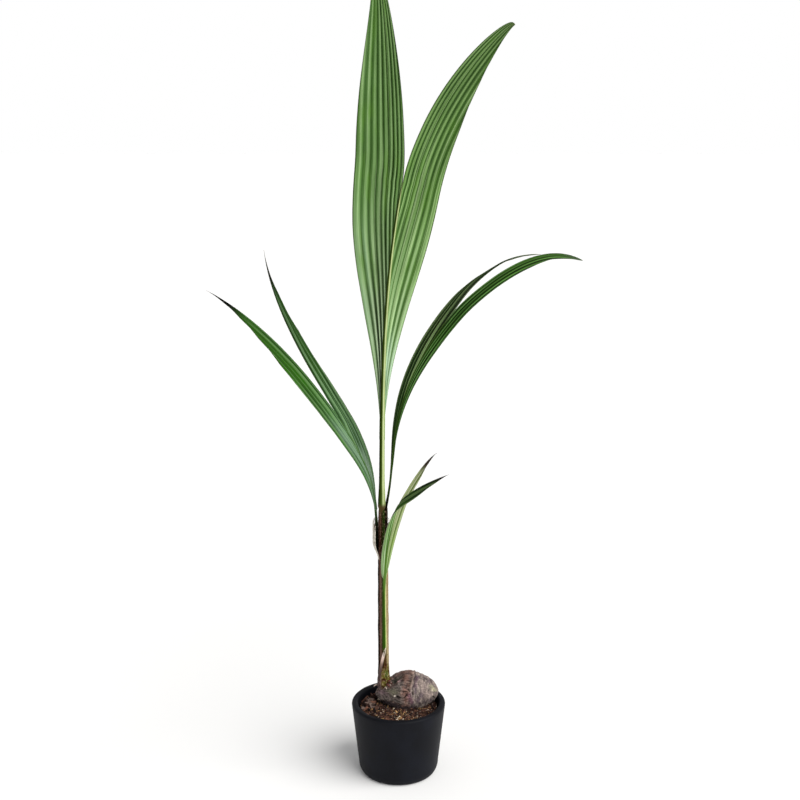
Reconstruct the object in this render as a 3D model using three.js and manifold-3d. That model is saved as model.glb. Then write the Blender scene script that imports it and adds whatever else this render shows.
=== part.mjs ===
// Young coconut palm growing out of its husked nut, in a round matt pot. Millimetres, +Z up.
// The origin is the centre of the pot's flat underside, and -Y is the front.
import * as THREE from 'three';
import { mergeVertices } from 'three/addons/utils/BufferGeometryUtils.js';
import Module from 'manifold-3d';

const wasm = await Module();
wasm.setup();

// ---- driving dimensions ----
const CLEAR = 0.3;
const V = (x, y, z) => new THREE.Vector3(x, y, z);

const POT = {
  height: 175, rimRadius: 112.5, shoulderRadius: 96, shoulderHeight: 25, footRadius: 83,
  rimThickness: 15, rimRound: 4, floor: 16, cavityRadius: 86, segments: 48,
};
const SOIL = { top: 155, rise: 5, bumps: 2.2, rings: 7 };
const NUT = {
  tip: V(-57, 26, 181), end: V(97, 26, 187), rise: 3.5, radius: 48, widest: 0.52,
  pointed: 0.75, rounded: 0.6, ridges: 3, ridgeDepth: 0.03, stations: 22, sides: 24,
};
const STEM = {
  path: [V(-35, 24, 184), V(-37, 22, 330), V(-37, 20, 500), V(-36, 20, 652)],
  foot: 17, waist: 12.6, top: 10.4, flareEnd: 0.16, stations: 18, sides: 16,
};
const FIBRE = {
  low: 540, high: 622, highRadius: 24, spread: 0.45, from: -0.08, to: 1.08, thickness: 1.2,
  stations: 7, sides: 14,
};
const BRACT = {
  low: 230, high: 304, baseAngle: -2.6, tipAngle: -1.66, halfWidth: 0.32, thickness: 1.6,
  stations: 8, sides: 4,
};
const BLADE = { thickness: 3, tipThickness: 1.2, footWidth: 3.5, tipWidth: 1.4, cup: 0.1 };
const STALK_SIDES = 10;

// Each leaf is a stalk (a cubic curve that runs on as the rachis) and two lobes. A lobe's inner
// margin follows the rachis from bladeStart to its end, then its own curve to the tip.
// hand is +1 where the lobe's side vector turns its upper face out, and -1 on the other half.
const LEAVES = [
  {
    name: 'tall_leaf', green: 0x5d8a3c, bladeStart: 0.22, radii: [7, 2.6],
    stalk: [V(-39, 14, 653), V(-37, 14, 900), V(-39, 0, 1150), V(9, -30, 1400)],
    lobes: [
      {
        name: 'left_lobe', hand: -1, reach: 128, bend: V(-43, -50, 2010), tip: V(-34, -70, 1807),
        width: 112, widest: 0.56, base: 1.75, point: 1.45, pleats: 6, stations: 24,
        sides: [V(-0.75, 0.65, 0), V(-0.95, 0.3, 0), V(-1, -0.1, 0)],
      },
      {
        name: 'right_lobe', hand: 1, reach: 230, bend: V(256, -90, 1780), tip: V(226, -150, 1720),
        width: 90, widest: 0.58, base: 1.75, point: 1.0, pleats: 6, stations: 24,
        sides: [V(0.75, 0.65, 0), V(0.9, 0.35, -0.3), V(0.75, 0.2, -0.65)],
      },
    ],
  },
  {
    name: 'left_leaf', green: 0x2f6a1c, bladeStart: 0.27, radii: [3.4, 1.8],
    stalk: [V(-50, 21, 545), V(-50, 22, 694), V(-58, 30, 734), V(-143, 50, 867)],
    lobes: [
      {
        name: 'outer_lobe', hand: 1, reach: 120, bend: V(-321, 60, 1098), tip: V(-440, 80, 1155),
        width: 44, widest: 0.46, base: 0.8, point: 1.36, pleats: 4, stations: 20,
        sides: [V(-0.3, -0.9, -0.2), V(-0.45, -0.78, -0.44), V(-0.4, -0.8, -0.4)],
      },
      {
        name: 'inner_lobe', hand: -1, reach: 100, bend: V(-298, 80, 1110), tip: V(-313, 120, 1243),
        width: 38, widest: 0.37, base: 1.4, point: 1.38, pleats: 4, stations: 20,
        sides: [V(0.4, 0.8, 0.4), V(0.45, 0.78, 0.44), V(0.5, 0.75, 0.4)],
      },
    ],
  },
  {
    name: 'right_leaf', green: 0x2f4a20, bladeStart: 0.115, radii: [3.8, 1.6],
    stalk: [V(-31, 24, 645), V(4, 26, 801), V(-40, 34, 897), V(127, 50, 1110)],
    lobes: [
      {
        name: 'lower_lobe', hand: -1, reach: 28, bend: V(303, 90, 1291), tip: V(426, 110, 1221),
        width: 33, widest: 0.62, base: 2.4, point: 1.0, pleats: 3, stations: 22,
        sides: [V(0.6, -0.7, -0.3), V(0.5, -0.75, -0.45), V(0.1, -0.8, -0.6)],
      },
      {
        name: 'upper_lobe', hand: 1, reach: 20, bend: V(223, 110, 1245), tip: V(334, 150, 1231),
        width: 31, widest: 0.52, base: 1.7, point: 1.6, pleats: 3, stations: 22,
        sides: [V(-0.6, 0.7, 0.3), V(-0.5, 0.75, 0.45), V(-0.3, 0.85, 0.3)],
      },
    ],
  },
  {
    name: 'small_leaf', green: 0x6a8f4a, bladeStart: 0.54, radii: [4.2, 1.2],
    stalk: [V(-34, 9, 262), V(-29, 7, 424), V(-48, -8, 526), V(0, -30, 674)],
    lobes: [
      {
        name: 'back_lobe', hand: 1, reach: 20, bend: V(53, -60, 788), tip: V(84, -100, 816),
        width: 16, widest: 0.51, base: 0.7, point: 1.2, pleats: 2, stations: 14,
        sides: [V(0.8, 0.5, 0), V(0.8, 0.5, -0.2), V(0.7, 0.6, -0.5)],
      },
      {
        name: 'front_lobe', hand: -1, reach: 35, bend: V(80, -80, 743), tip: V(110, -140, 779),
        width: 21, widest: 0.39, base: 0.7, point: 1.6, pleats: 2, stations: 16,
        sides: [V(-0.8, 0.5, 0.2), V(-0.2, -0.9, 0.1), V(0.3, -0.7, -0.6), V(0.3, -0.6, -0.7)],
      },
    ],
  },
];

// ---- small helpers ----
const { lerp, clamp, smoothstep } = THREE.MathUtils;

function toSolid(geometry) {
  const bare = geometry.clone();
  bare.deleteAttribute('normal');
  bare.deleteAttribute('uv');
  const merged = mergeVertices(bare, 1e-4);
  return new wasm.Manifold(new wasm.Mesh({
    numProp: 3,
    vertProperties: new Float32Array(merged.attributes.position.array),
    triVerts: new Uint32Array(merged.index.array),
  }));
}

function toGeometry(solid) {
  const mesh = solid.getMesh();
  const geometry = new THREE.BufferGeometry();
  geometry.setAttribute('position', new THREE.BufferAttribute(new Float32Array(mesh.vertProperties), 3));
  geometry.setIndex(new THREE.BufferAttribute(new Uint32Array(mesh.triVerts), 1));
  geometry.computeVertexNormals();
  return geometry;
}

// A closed body through rings of points. Every ring has the same even count and runs the same way,
// and its second half lies opposite its first half, so that the end caps are strips.
function loft(rings) {
  const count = rings[0].length;
  const positions = [];
  const faces = [];
  rings.forEach((ring) => ring.forEach((point) => positions.push(point.x, point.y, point.z)));
  for (let i = 0; i + 1 < rings.length; i += 1) {
    for (let j = 0; j < count; j += 1) {
      const a = i * count + j;
      const b = i * count + ((j + 1) % count);
      faces.push(a, b, a + count, b, b + count, a + count);
    }
  }
  const addCap = (offset, flip) => {
    for (let j = 0; j + 1 < count / 2; j += 1) {
      const [a, b] = [offset + j, offset + j + 1];
      const [c, d] = [offset + count - 2 - j, offset + count - 1 - j];
      if (flip) faces.push(a, c, b, a, d, c);
      else faces.push(a, b, c, a, c, d);
    }
  };
  addCap(0, true);
  addCap((rings.length - 1) * count, false);
  const geometry = new THREE.BufferGeometry();
  geometry.setAttribute('position', new THREE.Float32BufferAttribute(positions, 3));
  geometry.setIndex(faces);
  const volume = signedVolume(geometry);
  if (volume < 0) {
    const turned = Array.from(geometry.index.array);
    for (let i = 0; i < turned.length; i += 3) [turned[i], turned[i + 1]] = [turned[i + 1], turned[i]];
    geometry.setIndex(turned);
  }
  geometry.computeVertexNormals();
  return geometry;
}

function signedVolume(geometry) {
  const position = geometry.attributes.position;
  const index = geometry.index.array;
  const [a, b, c] = [V(0, 0, 0), V(0, 0, 0), V(0, 0, 0)];
  let volume = 0;
  for (let i = 0; i < index.length; i += 3) {
    a.fromBufferAttribute(position, index[i]);
    b.fromBufferAttribute(position, index[i + 1]);
    c.fromBufferAttribute(position, index[i + 2]);
    volume += a.dot(b.clone().cross(c)) / 6;
  }
  return volume;
}

// ---- pot and what it holds ----
function wallRadius(z) {
  const rise = (z - POT.shoulderHeight) / (POT.height - POT.shoulderHeight);
  return lerp(POT.shoulderRadius, POT.rimRadius, rise);
}

function cavityRadius(z) {
  const rise = (z - POT.floor) / (POT.height - POT.floor);
  return lerp(POT.cavityRadius, POT.rimRadius - POT.rimThickness, rise);
}

function lathe(points, segments) {
  const geometry = new THREE.LatheGeometry(points, segments);
  geometry.rotateX(Math.PI / 2);
  return geometry;
}

function pot() {
  const { height, rimRadius, rimThickness, rimRound, floor } = POT;
  const lip = height - rimRound;
  const inner = rimRadius - rimThickness;
  const outline = new THREE.Path();
  outline.moveTo(0, 0);
  outline.lineTo(POT.footRadius, 0);
  outline.quadraticCurveTo(POT.shoulderRadius - 1, 3, POT.shoulderRadius, POT.shoulderHeight);
  outline.lineTo(wallRadius(lip), lip);
  outline.quadraticCurveTo(rimRadius, height, rimRadius - rimRound, height);
  outline.lineTo(inner + rimRound, height);
  outline.quadraticCurveTo(inner, height, cavityRadius(lip), lip);
  outline.lineTo(POT.cavityRadius, floor);
  outline.lineTo(0, floor);
  return toSolid(lathe(outline.getPoints(5), POT.segments));
}

function soilHeight(x, y) {
  const radius = Math.hypot(x, y) / POT.rimRadius;
  const dome = SOIL.rise * (1 - radius * radius);
  return SOIL.top + dome + SOIL.bumps * Math.sin(x / 9 + 2 * Math.sin(y / 13)) * Math.cos(y / 8);
}

function soil() {
  const points = [new THREE.Vector2(0, POT.floor + CLEAR)];
  points.push(new THREE.Vector2(POT.cavityRadius - CLEAR, POT.floor + CLEAR));
  const edge = cavityRadius(SOIL.top) - 2 * CLEAR;
  for (let i = SOIL.rings; i >= 0; i -= 1) points.push(new THREE.Vector2((edge * i) / SOIL.rings, SOIL.top));
  const geometry = lathe(points, 36);
  const position = geometry.attributes.position;
  for (let i = 0; i < position.count; i += 1) {
    const [x, y, z] = [position.getX(i), position.getY(i), position.getZ(i)];
    const inside = Math.hypot(x, y) < edge - 1;
    if (inside && z > SOIL.top - 1) position.setZ(i, soilHeight(x, y));
  }
  return toSolid(geometry).subtract(nut(CLEAR));
}

function nutRadius(u) {
  const { widest, pointed, rounded, radius } = NUT;
  if (u < widest) return radius * Math.sin((Math.PI / 2) * (u / widest)) ** pointed;
  return radius * (1 - ((u - widest) / (1 - widest)) ** 2) ** rounded;
}

function nut(grow = 0) {
  const rings = [];
  for (let i = 0; i <= NUT.stations; i += 1) {
    const u = 0.5 - 0.5 * Math.cos(Math.PI * lerp(0.03, 0.985, i / NUT.stations));
    const radius = nutRadius(u) + grow;
    const ring = [];
    for (let j = 0; j < NUT.sides; j += 1) {
      const angle = (2 * Math.PI * j) / NUT.sides;
      const ridge = 1 + NUT.ridgeDepth * Math.cos(NUT.ridges * (angle - 0.5));
      const axisZ = lerp(NUT.tip.z, NUT.end.z, u) + NUT.rise * Math.sin(Math.PI * u);
      ring.push(V(
        lerp(NUT.tip.x, NUT.end.x, u),
        NUT.tip.y + radius * ridge * Math.cos(angle),
        axisZ + radius * ridge * Math.sin(angle),
      ));
    }
    rings.push(ring);
  }
  return toSolid(loft(rings));
}

// ---- stem ----
const stemCurve = new THREE.CubicBezierCurve3(...STEM.path);

function stemRadius(t) {
  const flare = 1 - smoothstep(t, 0, STEM.flareEnd);
  return lerp(lerp(STEM.waist, STEM.top, t), STEM.foot, flare);
}

function stemAt(z) {
  const low = STEM.path[0].z;
  const high = STEM.path[3].z;
  const t = clamp((z - low) / (high - low), 0, 1);
  return { centre: stemCurve.getPoint(t), radius: stemRadius(t) };
}

function stemTube(grow = 0) {
  const rings = [];
  for (let i = 0; i <= STEM.stations; i += 1) {
    const t = i / STEM.stations;
    const centre = stemCurve.getPoint(t);
    if (i === STEM.stations) centre.z += grow;
    const ring = [];
    for (let j = 0; j < STEM.sides; j += 1) {
      const angle = (2 * Math.PI * j) / STEM.sides;
      const radius = (stemRadius(t) + grow) / Math.cos(Math.PI / STEM.sides);
      ring.push(V(centre.x + radius * Math.cos(angle), centre.y + radius * Math.sin(angle), centre.z));
    }
    rings.push(ring);
  }
  return toSolid(loft(rings));
}

// A shell that wraps the stem between two angles, from one height to another.
function wrap({ low, high, stations, sides, thickness }, reach) {
  const rings = [];
  for (let i = 0; i <= stations; i += 1) {
    const rise = i / stations;
    const z = lerp(low, high, rise);
    const { centre } = stemAt(z);
    const { radius, from, to } = reach(rise, stemAt(z).radius);
    const arc = (r, j) => {
      const angle = lerp(from, to, j / sides);
      return V(centre.x + r * Math.cos(angle), centre.y + r * Math.sin(angle), z);
    };
    const ring = [];
    for (let j = 0; j <= sides; j += 1) ring.push(arc(radius + thickness, j));
    for (let j = sides; j >= 0; j -= 1) ring.push(arc(radius, j));
    rings.push(ring);
  }
  return toSolid(loft(rings));
}

function fibreSheath() {
  return wrap(FIBRE, (rise, stem) => ({
    radius: lerp(stem + CLEAR, FIBRE.highRadius, smoothstep(rise, 0, FIBRE.spread)),
    from: FIBRE.from * Math.PI,
    to: FIBRE.to * Math.PI,
  }));
}

function bract() {
  return wrap(BRACT, (rise, stem) => {
    const middle = lerp(BRACT.baseAngle, BRACT.tipAngle, rise);
    const half = BRACT.halfWidth * (1 - rise * rise) + 0.05;
    return { radius: stem + 0.6, from: middle - half, to: middle + half };
  });
}

// ---- leaves ----
function stalkRadius(leaf, t) {
  return lerp(leaf.radii[0], leaf.radii[1], t);
}

function stalk(leaf, grow = 0) {
  const curve = new THREE.CubicBezierCurve3(...leaf.stalk);
  const steps = 20;
  const across = leaf.lobes[1].sides[0];
  const rings = [];
  for (let i = 0; i <= steps; i += 1) {
    const t = i / steps;
    const tangent = curve.getTangent(t);
    const side = across.clone().addScaledVector(tangent, -across.dot(tangent)).normalize();
    const front = tangent.clone().cross(side);
    const radius = stalkRadius(leaf, t) + grow;
    const centre = curve.getPoint(t);
    if (i === 0) centre.addScaledVector(tangent, -grow);
    if (i === steps) centre.addScaledVector(tangent, grow);
    const ring = [];
    for (let j = 0; j < STALK_SIDES; j += 1) {
      const angle = (2 * Math.PI * j) / STALK_SIDES;
      const point = centre.clone();
      point.addScaledVector(side, radius * Math.cos(angle));
      point.addScaledVector(front, radius * Math.sin(angle));
      ring.push(point);
    }
    rings.push(ring);
  }
  return toSolid(loft(rings));
}

// The lobe's inner margin as one curve: the rachis, then the free part to the tip.
function marginPath(leaf, lobe) {
  const [a, b, c, d] = leaf.stalk;
  const rachis = new THREE.CubicBezierCurve3(a, b, c, d);
  const onward = d.clone().sub(c).normalize();
  const free = new THREE.CubicBezierCurve3(d, d.clone().addScaledVector(onward, lobe.reach), lobe.bend, lobe.tip);
  const points = [];
  const fine = 60;
  for (let i = 0; i <= fine; i += 1) points.push(rachis.getPoint(lerp(leaf.bladeStart, 1, i / fine)));
  const rachisLength = pathLength(points);
  for (let i = 1; i <= fine; i += 1) points.push(free.getPoint(i / fine));
  return { points, notch: rachisLength / pathLength(points) };
}

function pathLength(points) {
  let length = 0;
  for (let i = 1; i < points.length; i += 1) length += points[i].distanceTo(points[i - 1]);
  return length;
}

function pointAlong(points, share) {
  let left = share * pathLength(points);
  for (let i = 1; i < points.length; i += 1) {
    const step = points[i].distanceTo(points[i - 1]);
    if (left <= step) return points[i - 1].clone().lerp(points[i], left / step);
    left -= step;
  }
  return points[points.length - 1].clone();
}

function blendSides(sides, s) {
  const x = s * (sides.length - 1);
  const i = Math.min(Math.floor(x), sides.length - 2);
  const from = sides[i].clone().normalize();
  return from.lerp(sides[i + 1].clone().normalize(), smoothstep(x - i, 0, 1));
}

function lobeWidth(lobe, s) {
  if (s < lobe.widest) return lobe.width * Math.sin((Math.PI / 2) * (s / lobe.widest)) ** lobe.base;
  const past = (s - lobe.widest) / (1 - lobe.widest);
  return lobe.width * (1 - past * past) ** lobe.point;
}

function lobeBlade(leaf, lobe) {
  const { points, notch } = marginPath(leaf, lobe);
  const across = 2 * lobe.pleats;
  const rings = [];
  for (let i = 0; i <= lobe.stations; i += 1) {
    const s = i / lobe.stations;
    const origin = pointAlong(points, s);
    const tangent = pointAlong(points, Math.min(s + 0.01, 1)).sub(pointAlong(points, Math.max(s - 0.01, 0)));
    tangent.normalize();
    const side = blendSides(lobe.sides, s);
    side.addScaledVector(tangent, -side.dot(tangent)).normalize();
    const upper = tangent.clone().cross(side).multiplyScalar(lobe.hand);
    const along = lerp(leaf.bladeStart, 1, Math.min(s / notch, 1));
    origin.addScaledVector(side, stalkRadius(leaf, along) + CLEAR);
    const width = Math.max(lobeWidth(lobe, s), lerp(BLADE.footWidth, BLADE.tipWidth, s));
    const half = Math.min(lerp(BLADE.thickness, BLADE.tipThickness, s ** 3), width) / 2;
    const pleatDepth = 0.16 * (width / across);
    const surface = (j, lift) => {
      const t = j / across;
      const height = BLADE.cup * width * Math.sin(Math.PI * t) + (j % 2 ? pleatDepth : 0) + lift;
      return origin.clone().addScaledVector(side, width * t).addScaledVector(upper, height);
    };
    const ring = [];
    for (let j = 0; j <= across; j += 1) ring.push(surface(j, half));
    for (let j = across; j >= 0; j -= 1) ring.push(surface(j, -half));
    rings.push(ring);
  }
  return toSolid(loft(rings));
}

// ---- the palm ----
function addPiece(group, name, solid, color, roughness) {
  const material = new THREE.MeshStandardMaterial({ color, roughness, metalness: 0 });
  const mesh = new THREE.Mesh(toGeometry(solid), material);
  mesh.name = name;
  group.add(mesh);
}

function buildPalm() {
  const palm = new THREE.Group();
  addPiece(palm, 'pot', pot(), 0x1d1f20, 0.6);
  addPiece(palm, 'soil', soil(), 0x4a3426, 1);
  addPiece(palm, 'coconut', nut(), 0x7c6a62, 0.9);
  addPiece(palm, 'stem', stemTube().subtract(nut(CLEAR)), 0x5a4436, 0.9);

  const stemRoom = stemTube(CLEAR);
  const stalkRooms = LEAVES.map((leaf) => stalk(leaf, CLEAR));
  const leaveStalksRoom = (solid) => stalkRooms.reduce((rest, room) => rest.subtract(room), solid);
  addPiece(palm, 'fibre_sheath', leaveStalksRoom(fibreSheath().subtract(stemRoom)), 0x8c7d6a, 1);
  addPiece(palm, 'bract', leaveStalksRoom(bract().subtract(stemRoom)), 0xb39a7c, 0.9);

  LEAVES.forEach((leaf) => {
    addPiece(palm, `${leaf.name}_stalk`, stalk(leaf).subtract(stemRoom), leaf.green, 0.5);
    leaf.lobes.forEach((lobe) => {
      const blade = leaveStalksRoom(lobeBlade(leaf, lobe)).subtract(stemRoom);
      addPiece(palm, `${leaf.name}_${lobe.name}`, blade, leaf.green, 0.45);
    });
  });
  return palm;
}

export default buildPalm();
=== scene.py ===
"""The looks of a young coconut palm growing out of its husked nut, in a matt black pot.

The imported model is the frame, and every piece made here rides on its one body. Shapes are worked
out in millimetres, by the same rules as the solids' but finer, and turned into metres in a mesh.
"""
import math

import bmesh
import bpy
import numpy as np
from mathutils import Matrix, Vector, noise


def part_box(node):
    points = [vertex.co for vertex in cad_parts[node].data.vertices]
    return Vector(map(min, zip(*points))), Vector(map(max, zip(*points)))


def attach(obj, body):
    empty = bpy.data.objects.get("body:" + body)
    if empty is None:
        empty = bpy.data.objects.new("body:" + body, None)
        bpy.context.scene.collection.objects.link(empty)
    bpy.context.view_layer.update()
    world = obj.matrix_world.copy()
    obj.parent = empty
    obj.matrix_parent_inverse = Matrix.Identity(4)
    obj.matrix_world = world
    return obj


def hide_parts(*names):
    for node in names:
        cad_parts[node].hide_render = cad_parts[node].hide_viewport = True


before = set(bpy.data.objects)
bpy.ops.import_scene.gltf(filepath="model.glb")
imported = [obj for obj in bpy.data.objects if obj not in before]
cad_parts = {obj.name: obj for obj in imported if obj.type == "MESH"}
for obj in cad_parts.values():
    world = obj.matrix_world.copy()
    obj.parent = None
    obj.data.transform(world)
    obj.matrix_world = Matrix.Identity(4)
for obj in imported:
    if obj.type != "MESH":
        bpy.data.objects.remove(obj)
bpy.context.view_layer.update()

MM = 0.001
CLEAR = 0.3
TAU = 2 * math.pi

# ---- the plant's values (millimetres) ----
NUT = {
    "tip": (-57, 26, 181), "end": (97, 26, 187), "rise": 3.5, "radius": 48, "widest": 0.52,
    "pointed": 0.75, "rounded": 0.6, "ridges": 3, "ridge_depth": 0.03,
}
STEM = {
    "path": [(-35, 24, 184), (-37, 22, 330), (-37, 20, 500), (-36, 20, 652)],
    "foot": 17, "waist": 12.6, "top": 10.4, "flare_end": 0.16,
}
NET = {"low": 526, "high": 622, "radius": 24, "spread": 0.45, "start": -0.08, "stop": 1.25}
BRACT = {"low": 228, "high": 308, "base_angle": -2.4, "tip_angle": -1.28, "half_width": 0.2}
BLADE = {"foot_width": 3.5, "tip_width": 0.5, "cup": 0.1, "thick": 0.9, "thin": 0.4}

# hand is +1 where a lobe's side vector turns its upper face out. first, pleats and last are the
# number of pleats at the lobe's foot, at its widest, and of those that reach the tip. outer_loss is
# the share of the lost pleats that run out at the outer margin, steep is how much deeper the folds
# are there, slim is the width at the foot, and thins bends how the stalk's half width falls.
LOBE = {"outer_loss": 1.0, "steep": 1.0, "slim": 1.0}
LEAF = {"thins": 1.0}
LEAVES = [
    LEAF | {
        "name": "tall_leaf", "slot": "tall_leaf", "blade_start": 0.22, "radii": (7, 2.6),
        "stalk": [(-39, 14, 653), (-37, 14, 900), (-39, 0, 1150), (9, -30, 1400)],
        "lobes": [
            LOBE | {
                "name": "left_lobe", "hand": -1, "reach": 160, "bend": (-47, -50, 2005),
                "tip": (-69, -70, 1807), "width": 112, "widest": 0.56, "base": 1.75, "point": 1.6,
                "first": 2, "pleats": 9, "last": 6, "outer_loss": 0.4, "crowding": 0.4,
                "fold": 0.24, "steep": 2.1,
                "sides": [(-0.75, 0.65, 0), (-0.95, 0.3, 0), (-1, -0.1, 0)],
            },
            LOBE | {
                "name": "right_lobe", "hand": 1, "reach": 230, "bend": (247, -90, 1764),
                "tip": (229, -150, 1714), "width": 90, "widest": 0.56, "base": 1.75, "point": 0.98,
                "first": 2, "pleats": 8, "last": 4, "crowding": 0.15, "fold": 0.27,
                "sides": [(0.75, 0.65, 0), (0.9, 0.35, -0.3), (0.75, 0.2, -0.65)],
            },
        ],
    },
    LEAF | {
        "name": "left_leaf", "slot": "side_leaf", "blade_start": 0.27, "radii": (3.4, 1.8),
        "stalk": [(-50, 21, 545), (-50, 22, 694), (-58, 30, 734), (-143, 50, 867)],
        "lobes": [
            LOBE | {
                "name": "outer_lobe", "hand": 1, "reach": 120, "bend": (-321, 60, 1098),
                "tip": (-440, 80, 1155), "width": 44, "widest": 0.46, "base": 0.8, "point": 1.36,
                "first": 3, "pleats": 6, "last": 2, "crowding": 0.1, "fold": 0.36,
                "sides": [(-0.3, -0.9, -0.2), (-0.45, -0.78, -0.44), (-0.4, -0.8, -0.4)],
            },
            LOBE | {
                "name": "inner_lobe", "hand": -1, "reach": 100, "bend": (-298, 80, 1110),
                "tip": (-313, 120, 1243), "width": 38, "widest": 0.37, "base": 1.4, "point": 1.38,
                "first": 2, "pleats": 5, "last": 2, "crowding": 0.1, "fold": 0.38,
                "sides": [(0.4, 0.8, 0.4), (0.45, 0.78, 0.44), (0.5, 0.75, 0.4)],
            },
        ],
    },
    LEAF | {
        "name": "right_leaf", "slot": "side_leaf", "blade_start": 0.115, "radii": (3.4, 1.6),
        "thins": 0.4,
        "stalk": [(-31, 24, 645), (4, 26, 801), (-40, 34, 897), (127, 50, 1110)],
        "lobes": [
            LOBE | {
                "name": "lower_lobe", "slim": 0.15, "hand": -1, "reach": 28, "bend": (303, 90, 1291),
                "tip": (426, 110, 1221), "width": 33, "widest": 0.62, "base": 2.4, "point": 0.55,
                "first": 2, "pleats": 5, "last": 2, "crowding": 0.1, "fold": 0.38,
                "sides": [(0.6, -0.7, -0.3), (0.5, -0.75, -0.45), (0.1, -0.8, -0.6)],
            },
            LOBE | {
                "name": "upper_lobe", "slim": 0.15, "hand": 1, "reach": 20, "bend": (223, 110, 1245),
                "tip": (334, 150, 1231), "width": 31, "widest": 0.55, "base": 1.7, "point": 0.75,
                "first": 2, "pleats": 5, "last": 2, "crowding": 0.1, "fold": 0.38,
                "sides": [(-0.6, 0.7, 0.3), (-0.57, 0.72, 0.34), (-0.55, 0.73, 0.38), (-0.5, 0.75, 0.45),
                          (-0.5, 0.75, 0.45), (0.0, 1.0, 0.0), (0.3, 0.85, -0.4)],
            },
        ],
    },
    LEAF | {
        "name": "small_leaf", "slot": "small_leaf", "blade_start": 0.54, "radii": (4.2, 1.2),
        "stalk": [(-34, 9, 262), (-29, 7, 424), (-48, -8, 526), (0, -30, 674)],
        "lobes": [
            LOBE | {
                "name": "back_lobe", "hand": 1, "reach": 20, "bend": (53, -60, 788),
                "tip": (84, -100, 816), "width": 21, "widest": 0.51, "base": 0.6, "point": 1.2,
                "first": 2, "pleats": 3, "last": 1, "crowding": 0.0, "fold": 0.26,
                "sides": [(0.8, 0.5, 0), (0.8, 0.5, -0.2), (0.7, 0.6, -0.5)],
            },
            LOBE | {
                "name": "front_lobe", "hand": -1, "reach": 35, "bend": (80, -80, 752),
                "tip": (110, -140, 779), "width": 22, "widest": 0.45, "base": 0.4, "point": 1.4,
                "first": 2, "pleats": 3, "last": 1, "crowding": 0.0, "fold": 0.26,
                "sides": [(-0.45, -0.6, 0.1), (-0.45, -0.8, 0.1), (0.2, -0.5, -0.8), (0.3, -0.4, -0.8)],
            },
        ],
    },
]


# ---- numbers and curves ----
def lerp(a, b, t):
    return a + (b - a) * t


def smooth(x, low=0.0, high=1.0):
    x = np.clip((np.asarray(x, float) - low) / (high - low), 0, 1)
    return x * x * (3 - 2 * x)


def unit(v):
    v = np.asarray(v, float)
    return v / np.linalg.norm(v, axis=-1, keepdims=True)


def square_to(v, axis):
    """v with its part along axis taken out, as unit vectors."""
    v = np.asarray(v, float) * np.ones_like(axis)
    return unit(v - (v * axis).sum(-1, keepdims=True) * axis)


def bezier(points, t):
    a, b, c, d = np.asarray(points, float)
    t = np.asarray(t, float)[:, None]
    return (1 - t) ** 3 * a + 3 * (1 - t) ** 2 * t * b + 3 * (1 - t) * t * t * c + t ** 3 * d


def lengths(path):
    return np.r_[0, np.cumsum(np.linalg.norm(np.diff(path, axis=0), axis=1))]


def along(path, share):
    """The points at these shares of a path's length."""
    run = lengths(path)
    return np.stack([np.interp(share * run[-1], run, path[:, k]) for k in range(3)], -1)


def waves(x, seed, count=5):
    """A smooth uneven wave of about unit height over x."""
    turns = np.random.default_rng(seed)
    total = np.zeros_like(np.asarray(x, float))
    for k in range(1, count + 1):
        total += np.sin(TAU * (k * x * turns.uniform(0.7, 1.3) + turns.uniform())) / k
    return total / 1.6


def rough(points, size, detail=3, seed=0.0):
    """Fractal noise at each point, about -1 to 1, for bumps of this size."""
    shift = Vector((seed, 1.7 * seed, -seed))
    flat = np.asarray(points, float).reshape(-1, 3) / size
    found = [noise.fractal(Vector(p) + shift, 1.0, 2.0, detail) for p in flat]
    return np.array(found).reshape(np.shape(points)[:-1])


# ---- meshes ----
def grid(rows, columns, closed=False):
    """The quads of a grid of points. Where closed, the last column is joined to the first."""
    i, j = np.meshgrid(np.arange(rows - 1), np.arange(columns - (not closed)), indexing="ij")
    after = (j + 1) % columns
    corners = [i * columns + j, i * columns + after, (i + 1) * columns + after, (i + 1) * columns + j]
    return np.stack(corners, -1).reshape(-1, 4)


def grid_places(rows, columns, closed=False):
    """Each corner's place on a map of the unit square, for the quads of grid()."""
    i, j = np.meshgrid(np.arange(rows - 1), np.arange(columns - (not closed)), indexing="ij")
    across = columns if closed else columns - 1
    u = np.stack([j, j + 1, j + 1, j], -1) / across
    v = np.stack([i, i, i + 1, i + 1], -1) / (rows - 1)
    return np.stack([u, v], -1).reshape(-1, 4, 2)


class Bundle:
    """Shapes gathered into one mesh, with a material number for each face."""

    def __init__(self):
        self.points = []
        self.faces = []
        self.slots = []
        self.count = 0

    def add(self, points, faces, slot=0):
        points = np.asarray(points, float).reshape(-1, 3)
        self.points.append(points)
        self.faces += [[self.count + int(k) for k in face] for face in faces]
        self.slots += [slot] * len(faces)
        self.count += len(points)

    def tube(self, path, radii, sides=4, slot=0):
        """A tube round a path, closed at both ends."""
        path = np.asarray(path, float)
        radii = np.broadcast_to(np.asarray(radii, float), (len(path),))
        tangent = unit(np.gradient(path, axis=0))
        steady = np.array([0.31, 0.17, 0.94]) if abs(tangent[0][2]) < 0.8 else np.array([1, 0.2, 0.1])
        one = square_to(steady, tangent)
        two = np.cross(tangent, one)
        angle = TAU * np.arange(sides) / sides
        ring = one[:, None] * np.cos(angle)[:, None] + two[:, None] * np.sin(angle)[:, None]
        points = path[:, None] + ring * radii[:, None, None]
        ends = [list(range(sides))[::-1], list(range((len(path) - 1) * sides, len(path) * sides))]
        self.add(points, grid(len(path), sides, closed=True).tolist() + ends, slot)


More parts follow.
